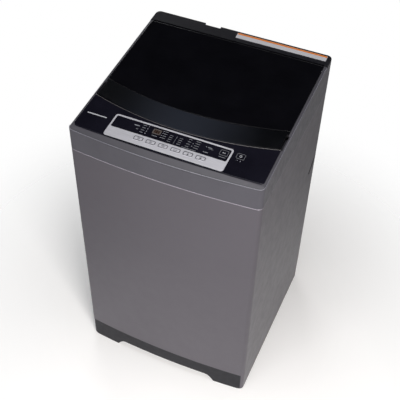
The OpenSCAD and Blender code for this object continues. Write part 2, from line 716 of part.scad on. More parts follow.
// Two filter frames, open towards the basket wall
filter_z = [430, 600];
module filter_block(r_out, r_in, edge) intersection() {
    ring(r_out, r_in, filter_z[0] + edge, filter_z[1] - edge);
    translate([150, edge - 42, 0]) cube([80, 84 - 2 * edge, far * 2]);
}
module lint_filters() color(pale_plastic) at_tub() for (a = [0, 180]) rotate([0, 0, a]) difference() {
    filter_block(basket_r - 1.4, basket_r - 11, 0);
    filter_block(basket_r, basket_r - 9, 2.5);
}

// --- pulsator and shafts -------------------------------------------------------------------

pulsator_z = 297;
hub_top_z = 336;
module pulsator() color(pale_plastic) at_tub() difference() {
    union() {
        rotate_extrude() polygon([[0, pulsator_z], [pulsator_r - 3, pulsator_z], [pulsator_r, pulsator_z + 2],
            [pulsator_r, pulsator_z + 5], [pulsator_r - 4, pulsator_z + 8], [120, pulsator_z + 11],
            [60, pulsator_z + 18], [34, pulsator_z + 30], [26, hub_top_z], [0, hub_top_z]]);
        intersection() {
            for (a = [0:60:300]) rotate([0, 0, a]) translate([20, -7, pulsator_z + 4])
                cube([pulsator_r - 26, 14, 60]);
            rotate_extrude() polygon([[10, pulsator_z], [pulsator_r - 6, pulsator_z],
                [pulsator_r - 6, pulsator_z + 14], [120, pulsator_z + 33], [60, pulsator_z + 36],
                [26, hub_top_z], [10, hub_top_z]]);
        }
    }
    translate([0, 0, pulsator_z - eps]) cylinder(r = 7, h = 33 + eps);
    translate([0, 0, pulsator_z]) cylinder(r = 3, h = 60);
    translate([0, 0, hub_top_z - 4]) cylinder(r = 12, h = 20);
}

module pulsator_screw() color(zinc) at_tub() {
    translate([0, 0, 318]) cylinder(r = 3, h = 15);
    translate([0, 0, hub_top_z - 4]) cylinder(r = 11, h = 3);
    translate([0, 0, hub_top_z - 2]) cylinder(r = 6.5, h = 5, $fn = 6);
}

module wash_shaft() color(zinc) at_tub() difference() {
    union() {
        translate([0, 0, 200]) cylinder(r = 7, h = pulsator_z + 33 - 200);
        translate([0, 0, 198]) cylinder(r = 26, h = 8);
    }
    translate([0, 0, 318]) cylinder(r = 3, h = 40);
}

module spin_shaft() color(zinc) at_tub() difference() {
    union() {
        translate([0, 0, 225]) cylinder(r = shaft_r, h = 294 - 225);
        translate([0, 0, 276]) cylinder(r = 72, h = 8);
        translate([0, 0, 273]) cylinder(r = 24, h = 4);
    }
    translate([0, 0, 200]) cylinder(r = 7 + shaft_fit, h = 120);
    for (a = [0:60:300]) rotate([0, 0, a]) translate([52, 0, 270]) cylinder(r = 9, h = 20);
}

module bearings_and_seal() color(zinc) at_tub() {
    ring(bearing_r, shaft_r + shaft_fit, tub_floor_z - 12, tub_floor_z - 1);
    ring(bearing_r, shaft_r + shaft_fit, tub_floor_z, tub_floor_z + 8);
}

// --- drive ---------------------------------------------------------------------------------

plate_z = tub_floor_z - 15;        // underside of the drive bracket
pulley_z = 108;
pulley_h = 16;
belt_h = 8;
groove = 4;                        // depth of the belt's groove in each pulley
input_r = 6;
clutch_r = 56;                     // clutch housing: radius, and height of its underside
clutch_z = 150;
clutch_cavity = [50, 160, 236];    // its cavity: radius, floor and top
motor_r = 50;                      // motor: radius, underside and top
motor_z = [138, 222];
rotor = [28, 158, 206];            // rotor: radius, underside and top
motor_shaft_r = 5;

module clutch_housing() color(zinc) at_tub() difference() {
    union() {
        translate([0, 0, clutch_z]) cylinder(r = clutch_r, h = plate_z - clutch_z);
        translate([0, 0, plate_z - 5]) cylinder(r = clutch_r + 6, h = 5);
        for (a = [30:60:330]) rotate([0, 0, a]) translate([clutch_r - 6, -3, clutch_z + 15])
            cube([10, 6, plate_z - clutch_z - 15]);
    }
    translate([0, 0, clutch_cavity[1]])
        cylinder(r = clutch_cavity[0], h = clutch_cavity[2] - clutch_cavity[1]);
    translate([0, 0, clutch_cavity[2] - 36]) cylinder(r = shaft_r + shaft_fit, h = 60);
    translate([0, 0, clutch_z - 10]) cylinder(r = input_r + shaft_fit, h = 40);
}

module drive_bracket() color(zinc) at_tub() difference() {
    union() {
        translate([-150, -70, plate_z]) cube([330, 140, 3]);
        for (x = [-140, 170], y = [-60, 60]) translate([x, y, plate_z])
            cylinder(r = 9, h = tub_floor_z - plate_z);
    }
    translate([0, 0, plate_z - eps]) cylinder(r = bearing_r, h = 5);
}

module pulley(r) difference() {
    translate([0, 0, pulley_z]) cylinder(r = r, h = pulley_h);
    translate([0, 0, pulley_z + pulley_h / 2]) ring(r + 10, r - groove, -belt_h / 2 - 0.4, belt_h / 2 + 0.4);
}

module clutch_pulley() color(zinc) at_tub() {
    difference() {
        pulley(clutch_pulley_r);
        for (a = [0:60:300]) rotate([0, 0, a]) translate([36, 0, pulley_z - eps])
            cylinder(r = 12, h = pulley_h + 2 * eps);
    }
    translate([0, 0, pulley_z - 8]) cylinder(r = input_r, h = 92);
    translate([0, 0, pulley_z + 76]) cylinder(r = 9, h = 8);
    translate([0, 0, pulley_z - 5]) cylinder(r = 10, h = 5, $fn = 6);
}

module motor_pulley() color(zinc) at_tub() translate([motor_x, 0, 0]) {
    pulley(motor_pulley_r);
    translate([0, 0, pulley_z - 6]) cylinder(r = motor_shaft_r, h = rotor[1] - pulley_z + 10);
    translate([0, 0, rotor[1]]) cylinder(r = rotor[0], h = rotor[2] - rotor[1]);
}

module drive_motor() color(steel) at_tub() translate([motor_x, 0, 0]) difference() {
    union() {
        translate([0, 0, motor_z[0]]) cylinder(r = motor_r, h = motor_z[1] - motor_z[0]);
        translate([0, 0, motor_z[0] - 6]) cylinder(r = 24, h = 8);
        for (a = [45:90:315]) rotate([0, 0, a]) translate([motor_r - 6, 0, motor_z[0] + 12])
            cylinder(r = 8, h = plate_z - motor_z[0] - 12);
    }
    translate([0, 0, motor_z[0] - 8]) cylinder(r = motor_shaft_r + shaft_fit, h = 40);
    translate([0, 0, rotor[1] - 6]) cylinder(r = rotor[0] + 2, h = rotor[2] - rotor[1] + 12);
}

// The belt's loop round both pulleys, grown by g from the bottom of their grooves.
module belt_loop(g) let (
    r1 = clutch_pulley_r - groove + g,
    r2 = motor_pulley_r - groove + g,
    a = acos((r1 - r2) / motor_x),
    n = 20
) polygon(concat(
    [for (i = [0:n]) let (t = a + (360 - 2 * a) * i / n) r1 * [cos(t), sin(t)]],
    [for (i = [0:n]) let (t = -a + 2 * a * i / n) [motor_x, 0] + r2 * [cos(t), sin(t)]]));
module drive_belt() color(rubber_black) at_tub() translate([0, 0, pulley_z + (pulley_h - belt_h) / 2])
    linear_extrude(belt_h) difference() {
        belt_loop(5.2);
        belt_loop(1.2);
    }

// The capacitor stands on a clip plate on the front corner block.
capacitor_at = [214, -165, block_z + block_size[2]];
module run_capacitor() color(pale_plastic) translate(capacitor_at) {
    translate([-24, -26, 0]) cube([48, 52, 3]);
    translate([0, 0, 3]) cylinder(r = 20, h = 70);
}

// --- suspension ----------------------------------------------------------------------------

cup_top_z = lug_z[0];
cup_z = cup_top_z - 58;
washer_z = cup_top_z - 70;
spring_z = [washer_z + 4.3, cup_top_z - 4.3];
seat_z = 768;

module suspension_rods() color(zinc) rod_places() {
    translate([0, 0, washer_z - 8]) cylinder(r = rod_r, h = seat_z + 14 - washer_z + 8);
    translate([0, 0, washer_z]) cylinder(r = 14, h = 4);
    translate([0, 0, washer_z - 6]) cylinder(r = 7, h = 6, $fn = 6);
    translate([0, 0, seat_z + 8]) cylinder(r1 = 9, r2 = 6, h = 8);
}

// Steel corner brackets with the ball seats that the rods hang from
module ball_seats() color(zinc) difference() {
    union() {
        for (x = [-1, 1], y = [-1, 1]) at_tub() {
            translate([x > 0 ? rod_offset - 20 : -half_w + sheet_t, y * rod_offset - 20, seat_z])
                cube([half_w - sheet_t - rod_offset + 20, 40, 3]);
            translate([x > 0 ? half_w - sheet_t - 3 : -half_w + sheet_t, y * rod_offset - 20, seat_z - 30])
                cube([3, 40, 33]);
        }
        rod_places() translate([0, 0, seat_z + 3]) cylinder(r = 13, h = 5);
    }
    rod_places() translate([0, 0, seat_z - eps]) cylinder(r = rod_r + 0.6, h = 30);
}

module suspension_springs() color(zinc) rod_places() ring(13.2, 9.4, spring_z[0], spring_z[1]);

module damper_cups() color(near_black) rod_places() difference() {
    translate([0, 0, cup_z]) cylinder(r = 19, h = cup_top_z - cup_z);
    translate([0, 0, cup_z - eps]) cylinder(r = 15.6, h = cup_top_z - cup_z - 4 + eps);
    cylinder(r = rod_r + 0.8, h = far);
}

// --- drain and level sensing ---------------------------------------------------------------

plunger_z = 232;
spigot_r = 12;
outlet_r = 14;
hose_top_z = 182;                  // low enough to clear the valve when the tub drops
valve_r = [24, 19];                // drain valve: outer and inner radius of its bowl
bowl_z = 214;                      // and its underside
bonnet_r = [13, 10];               // the side tube that the plunger slides in
plunger_r = [9.7, 3];              // the plunger and its rod
module at_drain() translate([drain_at[0], drain_at[1], 0]) children();

module drain_valve() color(pale_plastic) at_drain() difference() {
    union() {
        translate([0, 0, bowl_z]) cylinder(r = valve_r[0], h = tub_floor_z - bowl_z);
        translate([0, 0, plunger_z]) rod_x(bonnet_r[0], -46, 0);
        translate([0, 0, bowl_z - 64]) cylinder(r = spigot_r, h = 70);
    }
    translate([0, 0, bowl_z + 5]) cylinder(r = valve_r[1], h = tub_floor_z - bowl_z - 8);
    translate([0, 0, bowl_z - 74]) cylinder(r = spigot_r - 3, h = 90);
    translate([0, 0, plunger_z - 2]) cylinder(r = 13, h = 40);
    translate([0, 0, plunger_z]) rod_x(bonnet_r[1], -50, 0);
}

module drain_plunger() color(near_black) at_drain() translate([0, 0, plunger_z]) {
    rod_x(plunger_r[0], -20, -12);
    rod_x(plunger_r[1], -74, -12);
}

module drain_motor() color(pale_plastic) at_drain() difference() {
    union() {
        translate([-106, -20, plunger_z - 16]) cube([38, 40, 30]);
        for (y = [-14, 14]) translate([-98, y, plunger_z + 14])
            cylinder(r = 4, h = tub_floor_z - plunger_z - 14);
    }
    translate([0, 0, plunger_z]) rod_x(plunger_r[1] + 0.08, -96, -60);
}

module drain_hose() color(rubber_black) difference() {
    union() {
        at_drain() translate([0, 0, drain_z - hose_r])
            cylinder(r = hose_r, h = hose_top_z - drain_z + hose_r);
        translate([drain_at[0], 0, drain_z]) rod_y(hose_r, drain_at[1], corner_y);
        translate([drain_at[0], 0, drain_z]) rod_y(outlet_r, drain_at[1], rear_reach);
    }
    at_drain() translate([0, 0, drain_z - spigot_r]) cylinder(r = spigot_r + 0.4, h = 100);
    translate([drain_at[0], 0, drain_z]) rod_y(spigot_r, drain_at[1], far);
}

pipe_angle = 112;                  // overflow pipe: its direction from the tub's axis
pipe_reach = 237.5;                // and its distance
pipe_r = 10.5;
pipe_at = pipe_reach * [cos(pipe_angle), sin(pipe_angle)] + [0, tub_y];
pipe_run = drain_at - pipe_at;
module overflow_pipe() color(pale_plastic) {
    translate([pipe_at[0], pipe_at[1], tub_floor_z - 18]) cylinder(r = pipe_r, h = 460);
    // stub into the tub near its rim
    at_tub() rotate([0, 0, pipe_angle]) difference() {
        translate([0, 0, tub_floor_z + 420]) rod_x(7, tub_r - 8, pipe_reach);
        translate([0, 0, tub_floor_z]) cylinder(r = tub_r, h = tub_top_z);
    }
    // run to the drain valve under the tub
    difference() {
        translate([pipe_at[0], pipe_at[1], tub_floor_z - 9.5])
            rotate([0, 0, atan2(pipe_run[1], pipe_run[0])]) rod_x(8, 0, norm(pipe_run));
        at_drain() translate([0, 0, bowl_z - 14]) cylinder(r = valve_r[0], h = 100);
    }
}

sensor_z = 786;
module pressure_sensor() color(near_black) at_tub() translate([trap_at, trap_at, 0]) {
    translate([0, 0, sensor_z]) cylinder(r = 20, h = 16);
    translate([-10, 0, sensor_z + 1]) cube([20, panel_y - tub_y - trap_at, 4]);
}

module pressure_tube() color(rubber_black) at_tub() translate([trap_at, trap_at, 0])
    ring(5.6, 3.8, tub_floor_z + 88, sensor_z);

// --- rear fittings -------------------------------------------------------------------------

gland_bore_r = 4.2;
module cord_gland() color(rubber_black) translate([gland_at[0], 0, gland_at[1]]) difference() {
    union() {
        rod_y(gland_r, corner_y - 8, corner_y + 6);
        rod_y(12, corner_y, corner_y + 4);
        rod_y(12, panel_y - 4, panel_y);
    }
    rod_y(gland_bore_r, 0, far);
}

module cabinet_screws() color(zinc) {
    back_screws(screw_r, corner_y - screw_length, corner_y);
    back_screws(screw_head[0], corner_y, corner_y + screw_head[1]);
    rear_cover_screws(screw_r, corner_y - screw_length, corner_y);
    rear_cover_screws(screw_head[0], corner_y, corner_y + screw_head[1]);
}

// --- assembly ------------------------------------------------------------------------------

cabinet_shell();
back_panel();
base_frame();
rear_feet();
left_levelling_foot();
right_levelling_foot();
top_cover();
lid_well();
rear_console();
lid_frame();
lid_glass();
lid_handle();
lid_hinge_pins();
control_panel();
silver_trim();
display_window();
delay_button();
function_button();
program_button();
water_level_button();
temperature_button();
lock_button();
start_button();
power_button();
control_board();
inlet_valve();
inlet_box();
detergent_drawer();
lid_switch();
outer_tub();
tub_cover();
wash_basket();
basket_base();
balance_ring();
lint_filters();
pulsator();
pulsator_screw();
wash_shaft();
spin_shaft();
bearings_and_seal();
clutch_housing();
drive_bracket();
clutch_pulley();
drive_belt();
drive_motor();
motor_pulley();
run_capacitor();
suspension_rods();
ball_seats();
suspension_springs();
damper_cups();
drain_valve();
drain_plunger();
drain_motor();
drain_hose();
overflow_pipe();
pressure_sensor();
pressure_tube();
cord_gland();
cabinet_screws();
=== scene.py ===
"""Looks of the top load washing machine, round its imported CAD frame. Metres, +Z up, front towards -Y."""
from math import acos, atan, atan2, cos, degrees, exp, pi, radians, sin

import bmesh
import bpy
from mathutils import Matrix, Vector


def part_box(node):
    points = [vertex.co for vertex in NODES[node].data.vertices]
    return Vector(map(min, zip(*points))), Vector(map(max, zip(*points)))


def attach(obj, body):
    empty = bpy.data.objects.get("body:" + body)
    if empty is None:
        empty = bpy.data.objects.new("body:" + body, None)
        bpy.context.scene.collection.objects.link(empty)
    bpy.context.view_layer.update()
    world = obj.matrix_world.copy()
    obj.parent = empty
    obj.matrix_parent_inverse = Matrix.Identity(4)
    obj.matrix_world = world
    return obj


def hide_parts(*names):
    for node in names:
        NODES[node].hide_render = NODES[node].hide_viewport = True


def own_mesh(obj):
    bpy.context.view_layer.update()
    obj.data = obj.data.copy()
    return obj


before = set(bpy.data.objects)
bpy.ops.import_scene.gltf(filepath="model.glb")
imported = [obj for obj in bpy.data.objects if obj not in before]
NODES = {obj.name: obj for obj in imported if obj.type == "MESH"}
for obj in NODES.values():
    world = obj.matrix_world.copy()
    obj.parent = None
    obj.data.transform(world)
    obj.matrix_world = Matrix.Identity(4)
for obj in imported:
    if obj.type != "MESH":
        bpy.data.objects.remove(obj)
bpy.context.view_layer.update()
MM = 0.001


def new_object(name, data):
    """An object in the scene that shows a mesh, a lamp or a camera."""
    obj = bpy.data.objects.new(name, data)
    bpy.context.scene.collection.objects.link(obj)
    return obj


# --- camera ----------------------------------------------------------------------------------

CAMERA_AT = Vector((0.61894, -1.47963, 2.13902))
CAMERA_AZIMUTH, CAMERA_ELEVATION, CAMERA_ROLL = radians(22.897), radians(45.775), radians(1.58)
CAMERA_LENS, CAMERA_SENSOR = 70.5, 36            # mm


def make_camera():
    back = Vector((sin(CAMERA_AZIMUTH) * cos(CAMERA_ELEVATION),
                   -cos(CAMERA_AZIMUTH) * cos(CAMERA_ELEVATION), sin(CAMERA_ELEVATION)))
    level = Vector((0, 0, 1)).cross(back).normalized()
    upright = back.cross(level)
    across = cos(CAMERA_ROLL) * level + sin(CAMERA_ROLL) * upright
    above = back.cross(across)
    data = bpy.data.cameras.new("camera")
    data.lens, data.sensor_width = CAMERA_LENS, CAMERA_SENSOR
    data.clip_end = 50
    camera = new_object("camera", data)
    camera.matrix_world = Matrix.Translation(CAMERA_AT) @ Matrix((across, above, back)).transposed().to_4x4()
    bpy.context.scene.camera = camera


make_camera()

# --- dimensions of the outer surfaces ----------------------------------------------------------

HALF_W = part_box("cabinet_shell")[1].x
SEAM_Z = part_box("cabinet_shell")[1].z
CORNER_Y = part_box("rear_console")[1].y           # corners of the plan, front and rear
DECK_FRONT_Z, DECK_REAR_Z = 0.870, 0.917
DECK_ANGLE = atan2(DECK_REAR_Z - DECK_FRONT_Z, 2 * CORNER_Y)
FRONT_BOW = 14 * MM
CORNER_R = 14 * MM

LID_HALF = 251 * MM
LID_FRONT_Y = -119.6 * MM
LID_BOW = 36 * MM
LID_REAR_Y = 201.5 * MM
LID_GAP = 1.2 * MM
HANDLE_DEPTH = 64 * MM
GLASS_W = (1 * MM, 4 * MM)                       # underside and top of the lid plates, above the deck
NOTCH_Y = -68 * MM                               # rear end of the finger recesses
NOTCH_IN = 4 * MM

PANEL_TOP = 3 * MM
PANEL_FRONT_Y = -239 * MM
PANEL_BOW = 6 * MM
PANEL_CORNER_R = 11 * MM
TRIM_BOX = (-168 * MM, 150 * MM, -240 * MM, -164 * MM)
TRIM_TOP = PANEL_TOP + 0.8 * MM
TRIM_LINE = 4.4 * MM
STRIP_TOP_Y = -208 * MM
DISPLAY_BOX = (-59 * MM, -37 * MM, -191 * MM, -174 * MM)
KEY_GAP = 0.35 * MM
CONSOLE_FRONT_Y = 205.5 * MM

DECK = Matrix.Translation((0, -CORNER_Y, DECK_FRONT_Z)) @ Matrix.Rotation(DECK_ANGLE, 4, "X")


def up(y):
    """Distance up the sloping deck of the place that is y behind the middle of the machine."""
    return (y + CORNER_Y) / cos(DECK_ANGLE)


def lid_edge_y(x):
    """The lid's bowed front edge: its y at x."""
    return LID_FRONT_Y - LID_BOW * (1 - (x / LID_HALF) ** 2)


# --- outlines ----------------------------------------------------------------------------------

def span(a, b, steps):
    """Evenly spaced numbers from a to b, both included."""
    return [a + (b - a) * i / steps for i in range(steps + 1)]


def arc(cx, cy, r, start, end, steps=8):
    """Points on an arc, with its angles in degrees."""
    return [Vector((cx + r * cos(a), cy + r * sin(a))) for a in span(radians(start), radians(end), steps)]


def turns(steps):
    """Angles once round a circle, without the last one, which would repeat the first."""
    return span(0, 2 * pi * (steps - 1) / steps, steps - 1)


def circle(cx, cy, r, steps=24):
    return arc(cx, cy, r, 0, 360 * (steps - 1) / steps, steps - 1)


def pad(x0, x1, y0, y1, r, steps=6):
    """A rounded rectangle, counter-clockwise."""
    return (arc(x1 - r, y0 + r, r, -90, 0, steps) + arc(x1 - r, y1 - r, r, 0, 90, steps)
            + arc(x0 + r, y1 - r, r, 90, 180, steps) + arc(x0 + r, y0 + r, r, 180, 270, steps))


def deck_pad(x0, x1, y0, y1, r, steps=6):
    """A rounded rectangle on the deck, its corners given in plan."""
    return pad(x0, x1, up(y0), up(y1), r, steps)


def inset(loop, d):
    """A closed counter-clockwise loop, moved inwards by d."""
    moved = []
    for i, point in enumerate(loop):
        before = (point - loop[i - 1]).normalized()
        after = (loop[(i + 1) % len(loop)] - point).normalized()
        side = Vector((-before.y, before.x))
        middle = (side + Vector((-after.y, after.x))).normalized()
        moved.append(point + middle * (d / max(middle.dot(side), 0.4)))
    return moved


# --- meshes ------------------------------------------------------------------------------------

class Solid:
    """Collects closed solids into one mesh."""

    def __init__(self):
        self.points, self.faces = [], []

    def skin(self, rings, wrap=False):
        """Joins a stack of closed rings; the ends are capped, or joined to each other if wrap is set."""
        start, n = len(self.points), len(rings[0])
        for ring in rings:
            self.points.extend(ring)
        for k in range(len(rings) if wrap else len(rings) - 1):
            low, high = start + k * n, start + (k + 1) % len(rings) * n
            for i in range(n):
                j = (i + 1) % n
                self.faces.append((low + i, low + j, high + j, high + i))
        if not wrap:
            self.faces.append(tuple(reversed(range(start, start + n))))
            self.faces.append(tuple(range(start + (len(rings) - 1) * n, start + len(rings) * n)))
        return self

    def slab(self, loop, low, high, top=0.0, bottom=0.0, place=DECK, steps=3):
        """A plate with a closed outline, its edges rounded by the radii top and bottom."""
        levels = [(bottom * (1 - cos(a)), low + bottom * (1 + sin(a))) for a in span(-pi / 2, 0, steps)]
        levels += [(top * (1 - cos(a)), high - top * (1 - sin(a))) for a in span(0, pi / 2, steps)]
        levels = [level for i, level in enumerate(levels) if i == 0 or level != levels[i - 1]]
        return self.skin([[place @ Vector((p.x, p.y, w)) for p in inset(loop, d)] for d, w in levels])

    def band(self, outer, inner, low, high, place=DECK):
        """A flat frame between two outlines with the same number of points."""
        return self.skin([[place @ Vector((a.x, a.y, low)), place @ Vector((a.x, a.y, high)),
                           place @ Vector((b.x, b.y, high)), place @ Vector((b.x, b.y, low))]
                          for a, b in zip(outer, inner)], wrap=True)

    def bead(self, path, r, loop=False, sides=8):
        """A round bead along points that run level, closed into a ring if loop is set."""
        rings = []
        for i, point in enumerate(path):
            before = path[i - 1] if i or loop else point
            after = path[(i + 1) % len(path)] if i + 1 < len(path) or loop else point
            side = (after - before).cross(Vector((0, 0, 1))).normalized()
            rings.append([point + side * (r * cos(a)) + Vector((0, 0, r * sin(a))) for a in turns(sides)])
        return self.skin(rings, wrap=loop)

    def build(self, name):
        """The solids as an object."""
        mesh = bpy.data.meshes.new(name)
        mesh.from_pydata([tuple(p) for p in self.points], [], self.faces)
        tidy_mesh(mesh)
        return new_object(name, mesh)

    def piece(self, name, body, look, slot, replaces=()):
        return place_piece(self.build(name), body, look, replaces)


def tidy_mesh(mesh, sharp=40):
    """Outward normals, and smooth shading up to a sharp angle in degrees."""
    shape = bmesh.new()
    shape.from_mesh(mesh)
    bmesh.ops.remove_doubles(shape, verts=shape.verts, dist=1e-6)
    bmesh.ops.recalc_face_normals(shape, faces=shape.faces)
    shape.to_mesh(mesh)
    shape.free()
    mesh.shade_smooth()
    mesh.set_sharp_from_angle(angle=radians(sharp))


def place_piece(obj, body, look, replaces=()):
    """Puts a piece on its body with its material, in place of the CAD nodes that it replaces."""
    obj.data.materials.clear()
    obj.data.materials.append(look)
    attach(obj, body)
    if replaces:
        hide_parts(*replaces)
    weighted = obj.modifiers.new("even_normals", "WEIGHTED_NORMAL")
    weighted.keep_sharp = True
    return obj


def cut(obj, cutter):
    """Takes the solids in cutter away from obj's mesh."""
    tool = cutter.build("cutter")
    normals = obj.modifiers.get("even_normals")
    normals.show_viewport = False
    boolean = obj.modifiers.new("cut", "BOOLEAN")
    boolean.operation, boolean.solver, boolean.object = "DIFFERENCE", "EXACT", tool
    bpy.context.view_layer.update()
    cut_mesh = bpy.data.meshes.new_from_object(obj.evaluated_get(bpy.context.evaluated_depsgraph_get()))
    obj.modifiers.remove(boolean)
    obj.data = cut_mesh
    normals.show_viewport = True
    bpy.data.objects.remove(tool)
    tidy_mesh(cut_mesh)


# --- materials ---------------------------------------------------------------------------------

class Look:
    """A principled material and the node graph that gives it its detail."""

    def __init__(self, name, **sockets):
        self.material = bpy.data.materials.new(name)
        self.material.use_nodes = True
        self.tree = self.material.node_tree
        self.shader = self.tree.nodes["Principled BSDF"]
        for socket, value in sockets.items():
            self.shader.inputs[socket.replace("_", " ")].default_value = value
        self.place = self.tree.nodes.new("ShaderNodeTexCoord").outputs["Object"]

    def add(self, kind, **inputs):
        node = self.tree.nodes.new("ShaderNode" + kind)
        for socket, value in inputs.items():
            target = node.inputs[socket.replace("_", " ")]
            if isinstance(value, bpy.types.NodeSocket):
                self.tree.links.new(value, target)
            else:
                target.default_value = value
        return node

    def noise(self, scale, detail=3.0, stretch=None, roughness=0.5):
        place = self.place
        if stretch:
            place = self.add("Mapping", Vector=place, Scale=stretch).outputs["Vector"]
        texture = self.add("TexNoise", Vector=place, Scale=scale, Detail=detail, Roughness=roughness)
        return texture.outputs["Fac"]

    def mapped(self, value, source, target, smooth=False):
        """Maps the range source of a value to the range target, and clamps what lies outside."""
        node = self.add("MapRange", Value=value)
        if smooth:
            node.interpolation_type = "SMOOTHSTEP"
        node.inputs["From Min"].default_value, node.inputs["From Max"].default_value = source
        node.inputs["To Min"].default_value, node.inputs["To Max"].default_value = target
        return node.outputs["Result"]

    def between(self, fac, low, high):
        """Maps a noise to the range low to high."""
        return self.mapped(fac, (0.3, 0.7), (low, high))

    def ramp(self, fac, *stops):
        """A colour that runs through stops, each a place from 0 to 1 and a linear colour."""
        node = self.add("ValToRGB", Fac=fac)
        ramp = node.color_ramp
        while len(ramp.elements) < len(stops):
            ramp.elements.new(0.5)
        for element, (at, colour) in zip(ramp.elements, stops):
            element.position, element.color = at, (*colour, 1)
        return node.outputs["Color"]

    def mix(self, fac, first, second):
        node = self.tree.nodes.new("ShaderNodeMix")
        node.data_type = "RGBA"
        for index, value in ((0, fac), (6, first), (7, second)):
            if isinstance(value, bpy.types.NodeSocket):
                self.tree.links.new(value, node.inputs[index])
            else:
                node.inputs[index].default_value = value if index == 0 else (*value, 1)
        return node.outputs[2]

    def colour(self, value):
        self.tree.links.new(value, self.shader.inputs["Base Color"])
        return self

    def rough(self, value):
        self.tree.links.new(value, self.shader.inputs["Roughness"])
        return self

    def bump(self, *heights):
        """Raises the surface by each noise times its depth in metres."""
        normal = None
        for value, depth in heights:
            node = self.add("Bump", Height=value, Distance=depth, Strength=1.0)
            if normal is not None:
                self.tree.links.new(normal, node.inputs["Normal"])
            normal = node.outputs["Normal"]
        self.tree.links.new(normal, self.shader.inputs["Normal"])
        return self


def tone(colour, change):
    return tuple(c * change for c in colour)


def painted_steel(name, paint, metallic=0.35, roughness=0.42, highlight_z=None):
    """Satin enamel on sheet steel: orange peel, fine flake and slight clouding; a painted highlight makes it
    paler above the height given, along the rolled top edge.
    """
    look = Look(name, Metallic=metallic)
    flake = look.noise(2600, 1)
    cloud = look.noise(5, 2)
    base = look.ramp(cloud, (0.3, tone(paint, 0.98)), (0.7, tone(paint, 1.02)))
    base = look.mix(look.between(flake, 0.0, 0.16), base, tone(paint, 1.5))
    # painted highlight: paler steel above the seam's rolled edge, where the light would catch it
    if highlight_z:
        height = look.add("SeparateXYZ", Vector=look.place).outputs["Z"]
        painted_highlight = look.mapped(height, (highlight_z - 0.2 * MM, highlight_z + 0.2 * MM), (0.0, 1.0))
        base = look.mix(painted_highlight, base, tone(paint, 3.0))
    look.colour(base)
    look.rough(look.between(look.noise(40, 3), roughness - 0.03, roughness + 0.04))
    return look.bump((look.noise(420, 1), 0.006 * MM), (look.noise(12, 1), 0.01 * MM)).material


def moulded(name, colour, roughness=0.5, grain=0.05, spread=0.06, scale=1500, **sockets):
    """Moulded plastic with a spark-eroded grain and slight flow marks."""
    look = Look(name, **sockets)
    flow = look.noise(14, 3)
    base = look.ramp(flow, (0.3, tone(colour, 1 - spread)), (0.7, tone(colour, 1 + spread)))
    look.colour(look.mix(look.between(look.noise(scale, 2), 0.0, 0.2), base, tone(colour, 1.25)))
    look.rough(look.between(look.noise(60, 4), roughness - 0.05, roughness + 0.06))
    return look.bump((look.noise(scale, 2), grain * MM), (flow, 0.04 * MM)).material


def glossy(name, colour, roughness=0.06, specular=0.5, smudge=0.05, painted_sheen=0.0):
    """Glass or gloss plastic with a haze of finger marks and dust, and a painted sheen that makes its middle
    paler.
    """
    look = Look(name, Specular_IOR_Level=specular)
    haze = look.noise(9, 5, roughness=0.6)
    dust = look.noise(900, 2)
    base = look.ramp(haze, (0.35, tone(colour, 0.8)), (0.7, tone(colour, 1.25)))
    base = look.mix(look.between(dust, -0.12, 0.12), base, tone(colour, 1.8))
    # painted reflection: paler towards the middle, x = 0, where a light would glint on the handle
    if painted_sheen:
        across = look.add("SeparateXYZ", Vector=look.place).outputs["X"]
        distance = look.add("Math", Value=across)
        distance.operation = "ABSOLUTE"
        sheen_mask = look.mapped(distance.outputs["Value"], (0.0, 0.22), (1.0, 0.0), smooth=True)
        base = look.mix(sheen_mask, base, tone(colour, painted_sheen))
    look.colour(base)
    look.rough(look.between(haze, roughness, roughness + smudge))
    return look.bump((look.noise(12, 1), 0.02 * MM)).material


def brushed(name, colour, roughness=0.3, stretch=(30, 1500, 1500), metallic=0.9, depth=0.006):
    """Metal with fine brush lines along its least stretched axis."""
    look = Look(name, Metallic=metallic)
    lines = look.noise(1, 4, stretch=stretch)
    look.colour(look.ramp(lines, (0.3, tone(colour, 0.88)), (0.7, tone(colour, 1.08))))
    look.rough(look.between(lines, roughness - 0.06, roughness + 0.08))
    return look.bump((lines, depth * MM), (look.noise(20, 2), 0.02 * MM)).material


def galvanised(name, colour, roughness=0.38):
    """Zinc plated steel with its crystal spangle."""
    look = Look(name, Metallic=0.85)
    cells = look.add("TexVoronoi", Vector=look.place, Scale=160).outputs["Color"]
    grey = look.add("RGBToBW", Color=cells).outputs["Val"]
    look.colour(look.ramp(grey, (0.2, tone(colour, 0.86)), (0.8, tone(colour, 1.06))))
    look.rough(look.between(grey, roughness - 0.07, roughness + 0.1))
    return look.bump((look.noise(700, 3), 0.012 * MM)).material


def cast_metal(name, colour):
    """Die-cast aluminium: dull, with a sandy skin."""
    look = Look(name, Metallic=0.7)
    sand = look.noise(1100, 4)
    look.colour(look.ramp(look.noise(30, 4), (0.3, tone(colour, 0.85)), (0.7, tone(colour, 1.1))))
    look.rough(look.between(sand, 0.45, 0.62))
    return look.bump((sand, 0.05 * MM)).material


def circuit_green(name):
    """Solder mask over copper tracks."""
    look = Look(name)
    tracks = look.add("TexBrick", Vector=look.place, Scale=90, Mortar_Size=0.03)
    mask = look.mix(tracks.outputs["Fac"], (0.01, 0.10, 0.04), (0.03, 0.2, 0.08))
    look.colour(mask)
    look.rough(look.between(look.noise(200, 2), 0.25, 0.4))
    return look.bump((tracks.outputs["Fac"], 0.03 * MM)).material


def paper(name, colour):
    """A printed label: matt, with a faint fibre."""
    look = Look(name)
    fibre = look.noise(1, 4, stretch=(300, 900, 900))
    look.colour(look.ramp(fibre, (0.3, tone(colour, 0.93)), (0.7, tone(colour, 1.04))))
    look.rough(look.between(fibre, 0.5, 0.7))
    return look.bump((fibre, 0.01 * MM)).material


